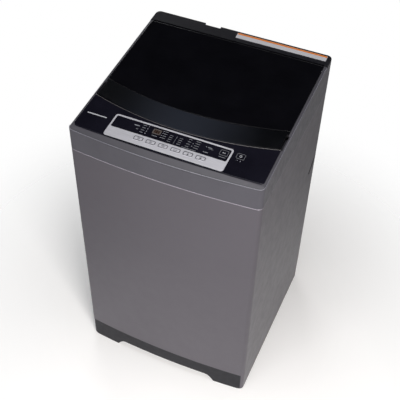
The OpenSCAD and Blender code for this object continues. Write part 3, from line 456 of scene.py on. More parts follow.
SEAM_HIGHLIGHT = 2 * MM                               # height of the painted highlight along the steel's top edge, under the cover's seam
STEEL = painted_steel("painted_steel", (0.101, 0.0935, 0.109), highlight_z=SEAM_Z - SEAM_HIGHLIGHT)
REAR_STEEL = painted_steel("rear_steel_paint", (0.12, 0.117, 0.124), roughness=0.5)
COVER = moulded("cover_grain", (0.062, 0.060, 0.072), roughness=0.42, grain=0.02)
BASE = moulded("base_grain", (0.0125, 0.0125, 0.0165), roughness=0.5, grain=0.03, Specular_IOR_Level=0.25)
RUBBER = moulded("rubber_skin", (0.018, 0.018, 0.019), roughness=0.75, scale=700)
BLACK = moulded("black_moulding", (0.012, 0.012, 0.014), roughness=0.45)
WHITE = moulded("white_moulding", (0.66, 0.67, 0.68), roughness=0.38, grain=0.015, spread=0.02)
GLASS = glossy("lid_glass_black", (0.0030, 0.0030, 0.0042), specular=0.12)
HANDLE = glossy("handle_skin", (0.0018, 0.0021, 0.0030), roughness=0.28, specular=0.1, smudge=0.08, painted_sheen=8.0)
PANEL = glossy("panel_skin", (0.0062, 0.006, 0.0105), roughness=0.12, specular=0.2)
SILVER = brushed("silver_trim_metal", (0.50, 0.50, 0.545), roughness=0.42, metallic=0.3)
KEY_SILVER = brushed("silver_key_metal", (0.515, 0.515, 0.56), roughness=0.4, metallic=0.3)
LENS = glossy("display_lens_tint", (0.020, 0.009, 0.006), roughness=0.08, specular=0.3)
BOARD = circuit_green("circuit_mask")
STAINLESS = brushed("stainless_wall", (0.62, 0.62, 0.63), roughness=0.25, stretch=(60, 60, 900))
ZINC = galvanised("zinc_plate", (0.55, 0.56, 0.58))
CAST = cast_metal("cast_aluminium_skin", (0.42, 0.42, 0.43))
MOTOR_PAINT = painted_steel("motor_paint", (0.03, 0.03, 0.033), metallic=0.1, roughness=0.5)
INK = moulded("printed_grey", (0.21, 0.22, 0.245), roughness=0.6, grain=0.004)
DIM_INK = moulded("printed_dim", (0.13, 0.135, 0.15), roughness=0.6, grain=0.004)
BRIGHT_INK = moulded("printed_bright", (0.42, 0.43, 0.46), roughness=0.6, grain=0.004)
DARK_INK = moulded("printed_dark", (0.030, 0.030, 0.042), roughness=0.6, grain=0.004)
LAMP = moulded("lamp_lens", (0.50, 0.51, 0.57), roughness=0.25, grain=0.004)
CONSOLE = moulded("rear_strip_grain", (0.0105, 0.0105, 0.0135), roughness=0.4, grain=0.02,
                  Specular_IOR_Level=0.15)
# painted highlight along the panel's joint with the lid
JOINT_HIGHLIGHT = moulded("panel_joint_painted_highlight", (0.085, 0.080, 0.080), roughness=0.35, grain=0.004)
# painted highlight along the deck's front edge
EDGE_HIGHLIGHT = moulded("cover_edge_painted_highlight", (0.20, 0.20, 0.235), roughness=0.3, grain=0.01)
SEGMENT = moulded("display_segment", (0.05, 0.03, 0.022), roughness=0.4, grain=0.002)
BEZEL = moulded("display_bezel", (0.085, 0.075, 0.070), roughness=0.4, grain=0.002)
LABEL_PAPER = paper("label_paper", (0.46, 0.46, 0.49))
STRIPE = paper("label_stripe", (0.62, 0.17, 0.015))

# --- CAD nodes that keep their shape -----------------------------------------------------------

def dress(look, bevel, *names):
    """Gives CAD nodes a material and small rounded edges."""
    for name in names:
        obj = NODES[name]
        obj.material_slots[0].material = look
        weld = obj.modifiers.new("weld", "WELD")
        weld.merge_threshold = 1e-5
        if bevel:
            edge = obj.modifiers.new("edge", "BEVEL")
            edge.width, edge.segments, edge.limit_method = bevel, 2, "ANGLE"
            edge.angle_limit = radians(35)
        weighted = obj.modifiers.new("even_normals", "WEIGHTED_NORMAL")
        weighted.keep_sharp = True


dress(REAR_STEEL, 0.0, "back_panel")
dress(COVER, 0.6 * MM, "top_cover", "lid_well")
dress(BASE, 0.8 * MM, "base_frame")
dress(RUBBER, 0.8 * MM, "rear_feet", "left_levelling_foot", "right_levelling_foot", "cord_gland",
      "drain_hose", "drive_belt", "pressure_tube")
dress(BLACK, 0.5 * MM, "inlet_valve", "lid_frame", "lid_switch", "damper_cups", "drain_plunger",
      "pressure_sensor")
dress(BOARD, 0.0, "control_board")
dress(WHITE, 0.6 * MM, "inlet_box", "detergent_drawer", "outer_tub", "tub_cover", "basket_base",
      "balance_ring", "lint_filters", "drain_valve", "drain_motor", "overflow_pipe", "run_capacitor")
dress(ZINC, 0.4 * MM, "lid_hinge_pins", "pulsator_screw", "wash_shaft", "spin_shaft",
      "bearings_and_seal", "drive_bracket", "suspension_rods", "ball_seats", "cabinet_screws")
dress(CAST, 0.6 * MM, "clutch_housing", "clutch_pulley", "motor_pulley")
dress(MOTOR_PAINT, 0.8 * MM, "drive_motor")

# --- steel wrap --------------------------------------------------------------------------------

SHEET_T = 0.8 * MM
WRAP_INSET = 0.15 * MM                           # leaves room for the catch slot's piece on the right
REAR_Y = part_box("cabinet_shell")[1].y            # the wrap ends at the back panel
KICK_HALF = 251 * MM
BASE_TOP = 76 * MM
HEM_Z = 70 * MM
FLANGE_W, FLANGE_TOP = 34 * MM, 792 * MM
GRIP_Y, GRIP_Z, GRIP_ANGLE = 213 * MM, 555 * MM, radians(39)
GRIP_HALF, GRIP_R = (30 * MM, 7.5 * MM), 7.3 * MM


def bow(x):
    """How far the cabinet's front stands forward of its corners at x."""
    return FRONT_BOW * (1 - (x / HALF_W) ** 2)


def plan_front(t, steps=32):
    """The plan's front from its left corner to its right one, inset by t."""
    half, r = HALF_W - t, CORNER_R - t
    lean = atan(2 * FRONT_BOW * (HALF_W - CORNER_R) / HALF_W ** 2)
    touch = half - r + r * sin(lean)
    centre_y = -CORNER_Y - bow(touch) + t + r * cos(lean)
    kick = degrees(acos((KICK_HALF - half + r) / r))
    right = (arc(half - r, centre_y, r, degrees(lean) - 90, -kick, 2)
             + arc(half - r, centre_y, r, -kick, 0, 6)[1:])
    left = [Vector((-p.x, p.y)) for p in reversed(right)]
    front = [Vector((x, -CORNER_Y - bow(x) + t)) for x in span(-touch, touch, steps)]
    return left + front[1:-1] + right


def wrap_line(t):
    """The wrap's plan from its left rear flange round the front to the right one, inset by t."""
    half, r = HALF_W - t, CORNER_R - t
    right = arc(half - r, REAR_Y - r, r, 0, 90, 6) + [Vector((HALF_W - FLANGE_W, REAR_Y))]
    left = [Vector((-p.x, p.y)) for p in reversed(right)]
    return left + plan_front(t) + right


def on_side(point):
    """Depth and height of a point of the slanting hand grip's own frame."""
    return (GRIP_Y + point.x * cos(GRIP_ANGLE) - point.y * sin(GRIP_ANGLE),
            GRIP_Z + point.x * sin(GRIP_ANGLE) + point.y * cos(GRIP_ANGLE))


def grip_ring(side, shrink, deep):
    """The hand grip's outline on one side of the cabinet, shrunk and set in by millimetres."""
    loop = inset(pad(-GRIP_HALF[0], GRIP_HALF[0], -GRIP_HALF[1], GRIP_HALF[1], GRIP_R), shrink * MM)
    return [Vector((side * (HALF_W - WRAP_INSET - deep * MM), *on_side(a))) for a in loop]


def make_grip(shape, side):
    """The pressed hand grip in one side; returns the edges of its rim."""
    pressed = ((-1.4, 0.0), (-0.4, 0.3), (0.4, 1.2), (1.6, 9.0), (2.6, 11.4), (4.2, 12.4))
    rings = [[shape.verts.new(p) for p in grip_ring(side, shrink, deep)] for shrink, deep in pressed]
    for low, high in zip(rings, rings[1:]):
        for i in range(len(low)):
            shape.faces.new((low[i - 1], low[i], high[i], high[i - 1]))
    shape.faces.new(rings[-1])
    return [shape.edges.get((rings[0][i - 1], rings[0][i])) for i in range(len(rings[0]))]


def make_wrap():
    """Front and sides in one sheet: hemmed at the bottom, rolled in at the top, with pressed hand grips."""
    hem, base_top, flange_top, seam = HEM_Z / MM, BASE_TOP / MM, FLANGE_TOP / MM, SEAM_Z / MM
    levels = ((4, 0.7), (hem - 1, 0.7), (hem, 0), (base_top, 0), (flange_top, 0),
              (seam - 1.8, 0), (seam - 0.7, 0.3), (seam, 1.1))         # height and inset in mm
    shape = bmesh.new()
    rows = [[shape.verts.new((p.x, p.y, z * MM)) for p in wrap_line(WRAP_INSET + t * MM)] for z, t in levels]
    columns = len(rows[0])
    kick_rows, wall_rows, flange_rows = range(3), range(2, 5), range(4, 8)
    for j in range(columns - 1):
        a, b = rows[3][j].co, rows[3][j + 1].co
        at_front = max(abs(a.x), abs(b.x)) < KICK_HALF + MM / 2 and a.y < 0
        on_wall = abs(a.y - b.y) > 0.2
        on_flange = j in (0, columns - 2)
        for i in range(len(rows) - 1):
            left_out = (at_front and i in kick_rows) or (on_wall and i in wall_rows)
            if not left_out and not (on_flange and i in flange_rows):
                shape.faces.new((rows[i][j], rows[i][j + 1], rows[i + 1][j + 1], rows[i + 1][j]))
        if on_wall:
            rim = make_grip(shape, 1 if a.x > 0 else -1)
            border = [rows[i][j] for i in range(2, 6)] + [rows[i][j + 1] for i in range(5, 1, -1)]
            for k, vert in enumerate(border):
                rim.append(shape.edges.get((border[k - 1], vert)) or shape.edges.new((border[k - 1], vert)))
            bmesh.ops.triangle_fill(shape, use_beauty=True, edges=rim)
    mesh = bpy.data.meshes.new("cabinet_wrap")
    shape.to_mesh(mesh)
    shape.free()
    tidy_mesh(mesh)
    wrap = new_object("cabinet_wrap", mesh)
    sheet = wrap.modifiers.new("sheet", "SOLIDIFY")
    sheet.thickness, sheet.offset = SHEET_T, -1
    place_piece(wrap, "cabinet", STEEL, ["cabinet_shell"])


def make_grip_shade(name, side):
    """A black lining in one hand grip, which paints the shade inside the pressed recess."""
    outside = ((4.2, 12.0), (3.1, 11.2), (2.1, 9.0), (0.9, 1.0), (0.2, 0.45))
    inside = ((1.0, 0.3), (1.9, 1.2), (2.9, 8.8), (4.6, 11.0))
    rings = [grip_ring(side, shrink, deep) for shrink, deep in outside + inside]
    Solid().skin(rings).piece(name, "cabinet", BLACK, "black_plastic")


make_wrap()
make_grip_shade("right_grip_shade", 1)
make_grip_shade("left_grip_shade", -1)

# --- rear strip and its label --------------------------------------------------------------------

RECESS_X = (-110 * MM, -64 * MM)
RECESS_Y = CORNER_Y - 7 * MM
STRIPE_W, STRIPE_EDGE = 6 * MM, 0.5 * MM         # the label's stripe, and the paper left behind it
LABEL = (-10 * MM, 248 * MM, 226.5 * MM, 248 * MM)
GLOSS_EDGE_Y = 211.5 * MM                        # the strip is glossy in front of this line
LABEL_W = (-0.1 * MM, 0.15 * MM)


def on_slope(points):
    """Plan points, as places on the deck."""
    return [Vector((p.x, up(p.y))) for p in points]


def make_console():
    """The strip behind the lid, with its notch over the water inlet."""
    right = arc(HALF_W - CORNER_R, CORNER_Y - CORNER_R, CORNER_R, 0, 90)
    left = [Vector((-p.x, p.y)) for p in reversed(right)]
    notch = [Vector((RECESS_X[1], CORNER_Y)), Vector((RECESS_X[1], RECESS_Y)),
             Vector((RECESS_X[0], RECESS_Y)), Vector((RECESS_X[0], CORNER_Y))]
    outline = [Vector((-HALF_W, CONSOLE_FRONT_Y)), Vector((HALF_W, CONSOLE_FRONT_Y))] + right + notch + left
    Solid().slab(on_slope(outline), -3 * MM, 0, top=2.2 * MM).piece(
        "rear_strip", "cabinet", CONSOLE, "cover_plastic", ["rear_console"])


def make_label():
    """A blank label with a stripe along its rear edge."""
    x0, x1, y0, y1 = LABEL
    Solid().slab(deck_pad(x0, x1, y0, y1, 1.5 * MM), *LABEL_W, top=0.05 * MM).piece(
        "rear_label", "cabinet", LABEL_PAPER, "cover_plastic")
    stripe = deck_pad(x0 + MM, x1 - MM, y1 - STRIPE_EDGE - STRIPE_W, y1 - STRIPE_EDGE, 0.4 * MM)
    Solid().slab(stripe, LABEL_W[1], LABEL_W[1] + 0.05 * MM).piece(
        "label_stripe", "cabinet", STRIPE, "cover_plastic")


def make_gloss_edge():
    """The glossy edge of the rear strip, which continues the lid's glass."""
    Solid().slab(deck_pad(MM - LID_HALF, LID_HALF - MM, CONSOLE_FRONT_Y + 1.2 * MM, GLOSS_EDGE_Y, 1 * MM),
                 -0.1 * MM, 0.12 * MM, top=0.05 * MM).piece(
        "rear_strip_gloss_edge", "cabinet", GLASS, "cover_plastic")


make_console()
make_label()
make_gloss_edge()

# --- lid -----------------------------------------------------------------------------------------

LID_STEPS = 40


def lid_curve(half, back):
    """The lid's bowed front edge from left to right, moved back."""
    return [Vector((x, up(lid_edge_y(x) + back))) for x in span(-half, half, LID_STEPS)]


def make_lid_glass():
    """The glass plate behind the handle strip, rounded at its rear corners."""
    rear = up(LID_REAR_Y)
    corner = 4 * MM
    outline = (lid_curve(LID_HALF, HANDLE_DEPTH + 0.3 * MM)
               + arc(LID_HALF - corner, rear - corner, corner, 0, 90, 4)
               + arc(corner - LID_HALF, rear - corner, corner, 90, 180, 4))
    Solid().slab(outline, *GLASS_W, top=1.2 * MM, bottom=0.3 * MM).piece(
        "lid_glass_plate", "lid", GLASS, "lid_glass", ["lid_glass"])


def make_lid_handle():
    """The satin strip along the lid's front, stepped in at each side for a finger."""
    narrow = LID_HALF - NOTCH_IN
    front = lid_curve(narrow, 0)
    rear = lid_curve(LID_HALF, HANDLE_DEPTH - 0.3 * MM)
    step_y = up(NOTCH_Y)
    outline = (front + [Vector((narrow, step_y)), Vector((LID_HALF, step_y + NOTCH_IN))]
               + list(reversed(rear)) + [Vector((-LID_HALF, step_y + NOTCH_IN)), Vector((-narrow, step_y))])
    Solid().slab(outline, *GLASS_W, top=1.3 * MM, bottom=0.3 * MM).piece(
        "lid_handle_strip", "lid", HANDLE, "handle_satin", ["lid_handle"])


make_lid_glass()
make_lid_handle()

# --- control panel -------------------------------------------------------------------------------

KEY_PITCH = 33 * MM
FIRST_KEY = (-79 * MM, -221.5 * MM)
KEY_SIZE, KEY_TOP = (25 * MM, 13 * MM), 5 * MM
ROUND_KEY_SIZE, ROUND_KEY_TOP = (22 * MM, 18 * MM), 4.2 * MM
STRIP_KEYS = ("delay", "function", "program", "water_level", "temperature", "lock")
ROUND_KEYS = {"start": (131 * MM, -184 * MM), "power": (172 * MM, -179 * MM)}
STEM_W, STEM_R = -19.6 * MM, 2.5 * MM
KEY_FLANGE, FLANGE_LEVELS = 1.2 * MM, (-1.8 * MM, -0.3 * MM)
INK_T = 0.12 * MM
INK_SINK = 0.02 * MM                             # how deep a mark sits in what it is printed on
DISPLAY_TOP, DISPLAY_MARK_W = 3.2 * MM, 3.18 * MM
PLAIN_MARK = (-212, -187.5, 54, 3.2)             # x, y, width and height in mm of a bar on the panel's left
MARK_W = PANEL_TOP - INK_SINK                    # underside of the panel's printed marks


def key_places():
    """Name, x, y, size, top and look of each key."""
    for i, name in enumerate(STRIP_KEYS):
        yield name, FIRST_KEY[0] + i * KEY_PITCH, FIRST_KEY[1], KEY_SIZE, KEY_TOP, KEY_SILVER
    for name, (x, y) in ROUND_KEYS.items():
        yield name, x, y, ROUND_KEY_SIZE, ROUND_KEY_TOP, PANEL


def key_outline(x, y, size, grow=0.0):
    """A key's outline on the deck."""
    w, h = size[0] / 2 + grow, size[1] / 2 + grow
    return pad(x - w, x + w, up(y) - h, up(y) + h, 3 * MM + grow)


def key_holes(low, high):
    """Cutters for the holes that the keys move in."""
    holes = Solid()
    for _, x, y, size, _, _ in key_places():
        holes.slab(key_outline(x, y, size, KEY_GAP), low, high)
    return holes


def make_key(name, x, y, size, top, look):
    """A key in one skin: stem, flange under the panel, and a cap with a rounded edge."""
    stem = arc(x, up(y), STEM_R, -90, 257, len(key_outline(x, y, size)) - 1)
    cap, flange = key_outline(x, y, size), key_outline(x, y, size, KEY_FLANGE)
    low, high = FLANGE_LEVELS
    levels = [(stem, STEM_W), (stem, low), (flange, low), (flange, high), (cap, high)]
    levels += [(inset(cap, MM * (1 - cos(a))), top - MM * (1 - sin(a))) for a in span(0, pi / 2, 4)]
    slot = "silver" if look is KEY_SILVER else "panel_gloss"
    Solid().skin([[DECK @ Vector((p.x, p.y, w)) for p in loop] for loop, w in levels]).piece(
        f"{name}_key", f"{name}_button_body", look, slot, [f"{name}_button"])


def panel_outline():
    """The panel's plan: bowed in front, and following the lid's edge behind."""
    half = LID_HALF - 8 * MM
    front = [Vector((half * t, up(PANEL_FRONT_Y - PANEL_BOW * (1 - t * t)))) for t in span(-1, 1, 32)]
    centre = (LID_HALF - 9.5 * MM, up(PANEL_FRONT_Y) + PANEL_CORNER_R)
    right = arc(*centre, PANEL_CORNER_R, -85, 0)
    rear = [Vector(((LID_HALF + MM) * t, up(lid_edge_y(LID_HALF * t) - LID_GAP)))
            for t in span(1, -1, LID_STEPS)]
    left = [Vector((-p.x, p.y)) for p in reversed(right)]
    return front[1:-1] + right + rear + left


def make_panel():
    """The panel's plate, with holes for the keys and the display."""
    panel = Solid().slab(panel_outline(), 0, PANEL_TOP, top=1.2 * MM).piece(
        "control_panel_plate", "cabinet", PANEL, "panel_gloss", ["control_panel"])
    x0, x1, y0, y1 = DISPLAY_BOX
    cut(panel, key_holes(-MM, PANEL_TOP + MM).slab(deck_pad(x0, x1, y0, y1, 0.8 * MM), -MM, PANEL_TOP + MM))


def make_trim():
    """The silver frame, open over the dark display field and wide in front, under the keys."""
    x0, x1, y0, y1 = TRIM_BOX
    trim = Solid().slab(deck_pad(x0, x1, y0, y1, 7 * MM), PANEL_TOP, TRIM_TOP, top=0.35 * MM).piece(
        "silver_frame", "cabinet", SILVER, "silver", ["silver_trim"])
    window = deck_pad(x0 + TRIM_LINE, x1 - TRIM_LINE, STRIP_TOP_Y, y1 - TRIM_LINE, 4 * MM)
    cut(trim, key_holes(PANEL_TOP - MM, TRIM_TOP + MM).slab(window, PANEL_TOP - MM, TRIM_TOP + MM))


def make_display():
    """The tinted lens over the digits."""
    x0, x1, y0, y1 = DISPLAY_BOX
    gap = 0.1 * MM
    outline = deck_pad(x0 + gap, x1 - gap, y0 + gap, y1 - gap, 0.7 * MM)
    Solid().slab(outline, 0, DISPLAY_TOP, top=0.3 * MM).piece(
        "display_lens", "cabinet", LENS, "display_lens", ["display_window"])


def bar(x, y, w, h, turn=0.0):
    """A bar centred at x, y in millimetres on the deck."""
    corners = [Vector((a * w / 2 * MM, b * h / 2 * MM)) for a, b in ((-1, -1), (1, -1), (1, 1), (-1, 1))]
    c, s = cos(radians(turn)), sin(radians(turn))
    return [Vector((x * MM + p.x * c - p.y * s, up(y * MM) + p.x * s + p.y * c)) for p in corners]


def dot(x, y, r):
    """A round mark centred at x, y in millimetres on the deck."""
    return circle(x * MM, up(y * MM), r * MM, 12)


def prints(name, body, look, slot, w, loops=(), rings=()):
    """Thin printed marks: filled loops, and rings of a given line width in millimetres."""
    ink = Solid()
    for loop in loops:
        ink.slab(loop, w, w + INK_T)
    for loop, line in rings:
        ink.band(loop, inset(loop, line * MM), w, w + INK_T)
    return ink.piece(name, body, look, slot)


def key_glyph(name, x, y):
    """A plain pictogram for a key at x, y in millimetres: filled loops and rings."""
    if name == "delay":
        return [bar(x, y + 0.9, 0.8, 2.2), bar(x + 0.8, y, 1.8, 0.8)], [(dot(x, y, 3.4), 0.8)]
    if name == "function":
        return [bar(x, y + d, 8 - abs(d), 0.9) for d in (-2.2, 0, 2.2)], []
    if name == "program":
        return [bar(x + d, y - 0.6, 0.9, 3.6) for d in (-3.6, -1.2, 1.2, 3.6)] + [bar(x, y + 2.4, 9, 0.9)], []
    if name == "water_level":
        waves = [bar(x + d, y + 0.4, 1.6, 0.8, 25 * (-1) ** i) for i, d in enumerate((-2.1, -0.7, 0.7, 2.1))]
        return [bar(x - 3.6, y, 0.9, 5.4), bar(x + 3.6, y, 0.9, 5.4), bar(x, y - 2.6, 7.2, 0.9)] + waves, []
    if name == "temperature":
        return [bar(x, y + 1.2, 1.3, 3.8), dot(x, y - 1.9, 1.4)], [(dot(x, y - 1.9, 2.4), 0.6)]
    if name == "lock":
        return [bar(x, y - 1, 5.2, 3.4)], [(dot(x, y + 1, 2.2), 0.8)]
    if name == "start":
        triangle = [Vector((p[0] * MM, up(p[1] * MM))) for p in
                    ((x - 3.4, y - 1.8), (x - 0.4, y), (x - 3.4, y + 1.8))]
        return [triangle, bar(x + 1.2, y, 0.8, 3.4), bar(x + 3, y, 0.8, 3.4)], []
    return [bar(x, y + 1.9, 0.9, 3.4)], [(dot(x, y, 3.3), 0.9)]


def mark_key(name, x, y, size, top, look):
    """The outline and pictogram on a key's top."""
    dark = look is KEY_SILVER
    loops, rings = key_glyph(name, x / MM, y / MM)
    outline = inset(key_outline(x, y, size), 0.4 * MM)
    slot = "panel_gloss" if dark else "silver"
    w = top - INK_SINK
    prints(f"{name}_key_mark", f"{name}_button_body", DARK_INK if dark else BRIGHT_INK, slot, w,
           loops, rings)
    prints(f"{name}_key_outline", f"{name}_button_body", DARK_INK if dark else DIM_INK, slot, w,
           rings=[(outline, 1.6 if dark else 0.9)])


def make_panel_marks():
    """Rows of short bars in place of the words, and the lamps beside them."""
    bars = [bar(-84, y, 8.5, 1.2) for y in (-174, -182, -190, -198)]
    bars += [bar(-103, -181, 14, 2.6), bar(-98, -192, 6, 1.2), bar(-48, -197, 14, 1.2), bar(5, -190, 0.5, 26)]
    for x, top, bottom, width in ((-25, -174, -196, 9), (-9, -180, -200, 9), (17, -180, -200, 9),
                                  (39, -174, -198, 9), (61, -174, -196, 12)):
        bars += [bar(x, y, width, 1.1) for y in span(top, bottom, 3)]
    bars += [bar(46, -204, 38, 1), bar(93, -181, 11, 1.8), bar(90, -198, 9, 1.8), bar(97, -184.5, 12, 0.8)]
    bars += [bar(131, -197.5, 17, 1.2)]
    columns = ((-73, (-174, -182, -190, -198)), (-32.5, (-174, -181, -189, -196)),
               (50, (-184, -193)), (84, (-181,)), (83, (-198,)))
    lamps = [dot(x, y, 0.9) for x, rows in columns for y in rows]
    lamps += [dot(168, -193, 0.8), dot(176, -193, 0.8)]
    prints("panel_print", "cabinet", INK, "silver", MARK_W, bars)
    prints("plain_mark", "cabinet", BRIGHT_INK, "silver", MARK_W, [bar(*PLAIN_MARK)])
    prints("panel_lamps", "cabinet", LAMP, "silver", MARK_W, lamps)
    x, y = (DISPLAY_BOX[0] + DISPLAY_BOX[1]) / 2 / MM, (DISPLAY_BOX[2] + DISPLAY_BOX[3]) / 2 / MM
    bezel = deck_pad(*DISPLAY_BOX, 0.8 * MM)
    digits = []
    for d in (-4.6, 4.6):
        digits += [bar(x + d, y + h, 3.6, 0.9) for h in (-4.4, 0, 4.4)]
        digits += [bar(x + d + side * 2.4, y + h, 0.9, 3.4) for side in (-1, 1) for h in (-2.2, 2.2)]
    prints("display_segments", "cabinet", SEGMENT, "display_lens", DISPLAY_MARK_W, digits)
    prints("display_edge", "cabinet", BEZEL, "display_lens", DISPLAY_MARK_W,
           rings=[(inset(bezel, 0.5 * MM), 2.4)])


def make_joint_highlight():
    """A grey bead that paints the highlight on the edge where the panel meets the lid."""
    back, w = LID_GAP + 1.2 * MM, PANEL_TOP - 0.6 * MM
    path = [DECK @ Vector((LID_HALF * t, up(lid_edge_y(LID_HALF * t) - back), w))
            for t in span(-1, 1, LID_STEPS)]
    Solid().bead(path, 0.9 * MM).piece("panel_rear_highlight", "cabinet", JOINT_HIGHLIGHT, "panel_gloss")


def make_cover_edge():
    """A pale bead that paints the highlight on the deck's edge, along its front and its right side up to the
    rear strip.
    """
    inward, w, r = 0.75 * MM, -0.55 * MM, 0.7 * MM
    plan = on_slope(plan_front(inward))
    plan.append(Vector((plan[-1].x, up(CONSOLE_FRONT_Y) - MM)))
    path = [DECK @ Vector((p.x, p.y, w)) for p in plan]
    Solid().bead(path, r).piece("cover_edge_highlight_bead", "cabinet", EDGE_HIGHLIGHT, "cover_plastic")


SLOT_Y, SLOT_Z = (-187.7 * MM, -186.3 * MM), (794.0 * MM, 804.4 * MM)


def make_side_slot():
    """A thin black sheet on the right side under the cover, which paints the shade of a short catch slot."""
    x = HALF_W - 0.12 * MM
    (y0, y1), (z0, z1) = SLOT_Y, SLOT_Z
    corners = ((y0, z0), (y1, z0), (y1, z1), (y0, z1))
    ends = [[Vector((x + d * MM, y, z)) for y, z in corners] for d in (0, 0.1)]
    Solid().skin(ends).piece("catch_slot_shade", "cabinet", BLACK, "black_plastic")


make_panel()
make_trim()
make_display()
for key in key_places():
    make_key(*key)
    mark_key(*key)
make_panel_marks()
make_joint_highlight()
make_cover_edge()
make_side_slot()

# --- basket, pulsator and springs ----------------------------------------------------------------

TUB_Y = (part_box("wash_basket")[0].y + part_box("wash_basket")[1].y) / 2
BASKET_R = 205 * MM
BASKET_LOW, BASKET_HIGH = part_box("wash_basket")[0].z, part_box("wash_basket")[1].z
HOLE_R = 2.0 * MM
SPRING_TUBE_R = 13.2 * MM                        # of the CAD's plain tubes, which the coils replace


def make_basket():
    """The spin basket's wall: rows of small drain holes between two plain bands, with pressed beads."""
    around, rows = 84, 20
    r = BASKET_R - 0.9 * MM
    margin = 14 * MM
    pitch = (BASKET_HIGH - BASKET_LOW - 2 * margin) / rows

    def at(turn, z):
        rib = 1.0 * MM * max(0.0, cos(turn * 12)) ** 8
        return Vector((sin(turn) * (r - rib), TUB_Y - cos(turn) * (r - rib), z))

    wall = Solid()
    step = 2 * pi / around
    border = ((-1, -1), (0, -1), (1, -1), (1, 0), (1, 1), (0, 1), (-1, 1), (-1, 0))
    for i in range(around):
        for row in range(rows):
            turn, z = i * step, BASKET_LOW + margin + (row + 0.5) * pitch
            outer = [at(turn + a * step / 2, z + b * pitch / 2) for a, b in border]
            hole = [at(turn + cos(c) * HOLE_R / r, z + sin(c) * HOLE_R)
                    for c in [radians(225 + 45 * k) for k in range(8)]]
            start = len(wall.points)
            wall.points.extend(outer + hole)
            for k in range(8):
                n = (k + 1) % 8
                wall.faces.append((start + k, start + n, start + 8 + n, start + 8 + k))
        for low, high in ((BASKET_LOW, BASKET_LOW + margin), (BASKET_HIGH - margin, BASKET_HIGH)):
            for a in (-1, 0):
                start = len(wall.points)
                left, right = i * step + a * step / 2, i * step + (a + 1) * step / 2
                wall.points.extend([at(left, low), at(right, low), at(right, high), at(left, high)])
                wall.faces.append((start, start + 1, start + 2, start + 3))
    basket = wall.build("basket_wall")
    sheet = basket.modifiers.new("sheet", "SOLIDIFY")
    sheet.thickness, sheet.offset = 0.7 * MM, -1
    place_piece(basket, "basket", STAINLESS, ["wash_basket"])


def make_pulsator():
    """A dished disc with six curved paddles that rise towards the hub."""
    low, top = (corner.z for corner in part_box("pulsator"))
    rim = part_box("pulsator")[1].x
    hub, well = 26 * MM, 12 * MM
    around, steps = 96, 26

    def height(r, turn):
        share = (r - hub) / (rim - hub)
        dish = 8 * MM + 22 * MM * exp(-4.2 * share)
        paddle = max(0.0, cos(6 * turn + 1.6 * share)) ** 3
        return low + min(top - low - MM, dish + 17 * MM * paddle * (1 - share ** 3) * min(1, 8 * (1 - share)))

    def ring(r, z):
        return [Vector((r * cos(a), TUB_Y + r * sin(a), z)) for a in turns(around)]

    rings = [ring(rim - 3 * MM, low), ring(rim, low + 2 * MM), ring(rim, low + 5 * MM)]
    for r in span(rim - 1.5 * MM, hub, steps):
        rings.append([Vector((r * cos(a), TUB_Y + r * sin(a), height(r, a))) for a in turns(around)])
    rings += [ring(hub - 3 * MM, top), ring(well + MM, top), ring(well, top - MM), ring(well, top - 4 * MM)]
    Solid().skin(rings).piece("pulsator_disc", "agitator", WHITE, "white_plastic", ["pulsator"])


def make_springs():
    """Four coil springs on the suspension rods."""
    low, high = (corner.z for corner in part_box("suspension_springs"))
    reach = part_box("suspension_springs")[1].x - SPRING_TUBE_R
    coil_r, wire_r, windings, sides = 11.4 * MM, 1.7 * MM, 7, 8
    coils = Solid()
    for x, y in ((-reach, -reach), (reach, -reach), (reach, reach), (-reach, reach)):
        rings = []
        for a in span(0, windings * 2 * pi, windings * 20):
            share = a / (windings * 2 * pi)
            z = low + wire_r + (high - low - 2 * wire_r) * share
            spoke = Vector((cos(a), sin(a), 0))
            middle = Vector((x, y + TUB_Y, z)) + spoke * coil_r
            rings.append([middle + spoke * (wire_r * cos(b)) + Vector((0, 0, wire_r * sin(b)))
                          for b in [2 * pi * k / sides for k in range(sides)]])
        coils.skin(rings)
    springs = coils.piece("coil_springs", "cabinet", ZINC, "zinc", ["suspension_springs"])
    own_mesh(springs)


make_basket()
make_pulsator()
make_springs()

# --- studio ------------------------------------------------------------------------------------

HORIZON, OVERHEAD, UNDER = 0.02, 0.0, 0.32       # strength of the sky as light, by height
FLOOR_REACH, FLOOR_GLOW = 8, 0.12
FLOOR_FADE = (0.35, 1.1)                         # the floor fades into the backdrop between these distances


def make_floor():
    """A pale floor that fades out around the machine."""
    mesh = bpy.data.meshes.new("floor")
    reach = FLOOR_REACH
    mesh.from_pydata([(-reach, -reach, 0), (reach, -reach, 0), (reach, reach, 0), (-reach, reach, 0)],
                     [], [(0, 1, 2, 3)])
    floor = new_object("floor", mesh)
    look = Look("floor_paper", Specular_IOR_Level=0.1, Emission_Color=(1, 1, 1, 1),
                Emission_Strength=FLOOR_GLOW)
    grain = look.noise(3, 2)
    look.colour(look.ramp(grain, (0.3, (0.93, 0.93, 0.93)), (0.7, (0.95, 0.95, 0.95))))
    look.rough(look.between(grain, 0.85, 0.95))
    distance = look.add("VectorMath", Vector=look.place)
    distance.operation = "LENGTH"
    fade = look.mapped(distance.outputs["Value"], FLOOR_FADE, (1.0, 0.0), smooth=True)
    look.tree.links.new(fade, look.shader.inputs["Alpha"])
    mesh.materials.append(look.material)


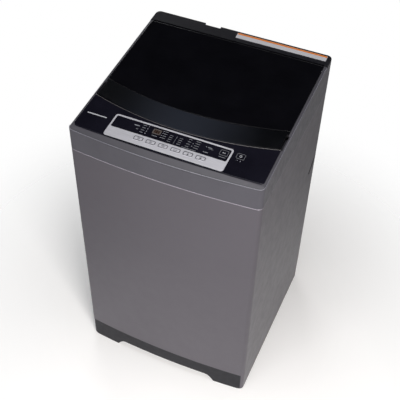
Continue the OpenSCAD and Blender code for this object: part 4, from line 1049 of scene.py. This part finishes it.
def add_light(name, at, towards, size, power, colour=(1, 1, 1)):
    """A rectangular soft light, with its power in watts."""
    data = bpy.data.lights.new(name, "AREA")
    data.shape, data.size, data.size_y = "RECTANGLE", *size
    data.energy, data.color = power, colour
    lamp = new_object(name, data)
    direction = Vector(towards) - Vector(at)
    lamp.matrix_world = Matrix.Translation(at) @ direction.to_track_quat("-Z", "Y").to_matrix().to_4x4()


def make_world():
    """A white backdrop for the camera; as light, a dim sky over a floor that goes on past its fade."""
    world = bpy.data.worlds.new("studio")
    world.use_nodes = True
    bpy.context.scene.world = world
    nodes, links = world.node_tree.nodes, world.node_tree.links
    sky = nodes["Background"]
    sky.inputs["Color"].default_value = (1, 1, 1, 1)
    height = nodes.new("ShaderNodeSeparateXYZ")
    links.new(nodes.new("ShaderNodeTexCoord").outputs["Generated"], height.inputs["Vector"])
    light = nodes.new("ShaderNodeMapRange")
    light.inputs["From Min"].default_value, light.inputs["From Max"].default_value = 0.15, 0.7
    light.inputs["To Min"].default_value, light.inputs["To Max"].default_value = HORIZON, OVERHEAD
    links.new(height.outputs["Z"], light.inputs["Value"])
    under = nodes.new("ShaderNodeMath")
    under.operation = "LESS_THAN"
    links.new(height.outputs["Z"], under.inputs[0])
    under.inputs[1].default_value = 0.0
    light_all_round = nodes.new("ShaderNodeMix")
    links.new(under.outputs["Value"], light_all_round.inputs["Factor"])
    links.new(light.outputs["Result"], light_all_round.inputs["A"])
    light_all_round.inputs["B"].default_value = UNDER
    seen = nodes.new("ShaderNodeMix")
    links.new(nodes.new("ShaderNodeLightPath").outputs["Is Camera Ray"], seen.inputs["Factor"])
    links.new(light_all_round.outputs["Result"], seen.inputs["A"])
    seen.inputs["B"].default_value = 1.0
    links.new(seen.outputs["Result"], sky.inputs["Strength"])


make_floor()
make_world()
add_light("key", (1.0, -1.35, 1.3), (0.1, -0.2, 0.6), (0.6, 0.6), 31, (1.0, 0.96, 0.93))
add_light("front", (-0.6, -3.0, 1.3), (0, 0, 0.4), (2.0, 1.6), 40)
add_light("top", (0, -0.2, 2.6), (0, 0, 0.9), (1.2, 1.2), 20)
add_light("back", (-1.8, 2.6, 1.3), (0, 0, 0.4), (1.6, 1.4), 30)
bpy.context.scene.view_settings.view_transform = "Standard"
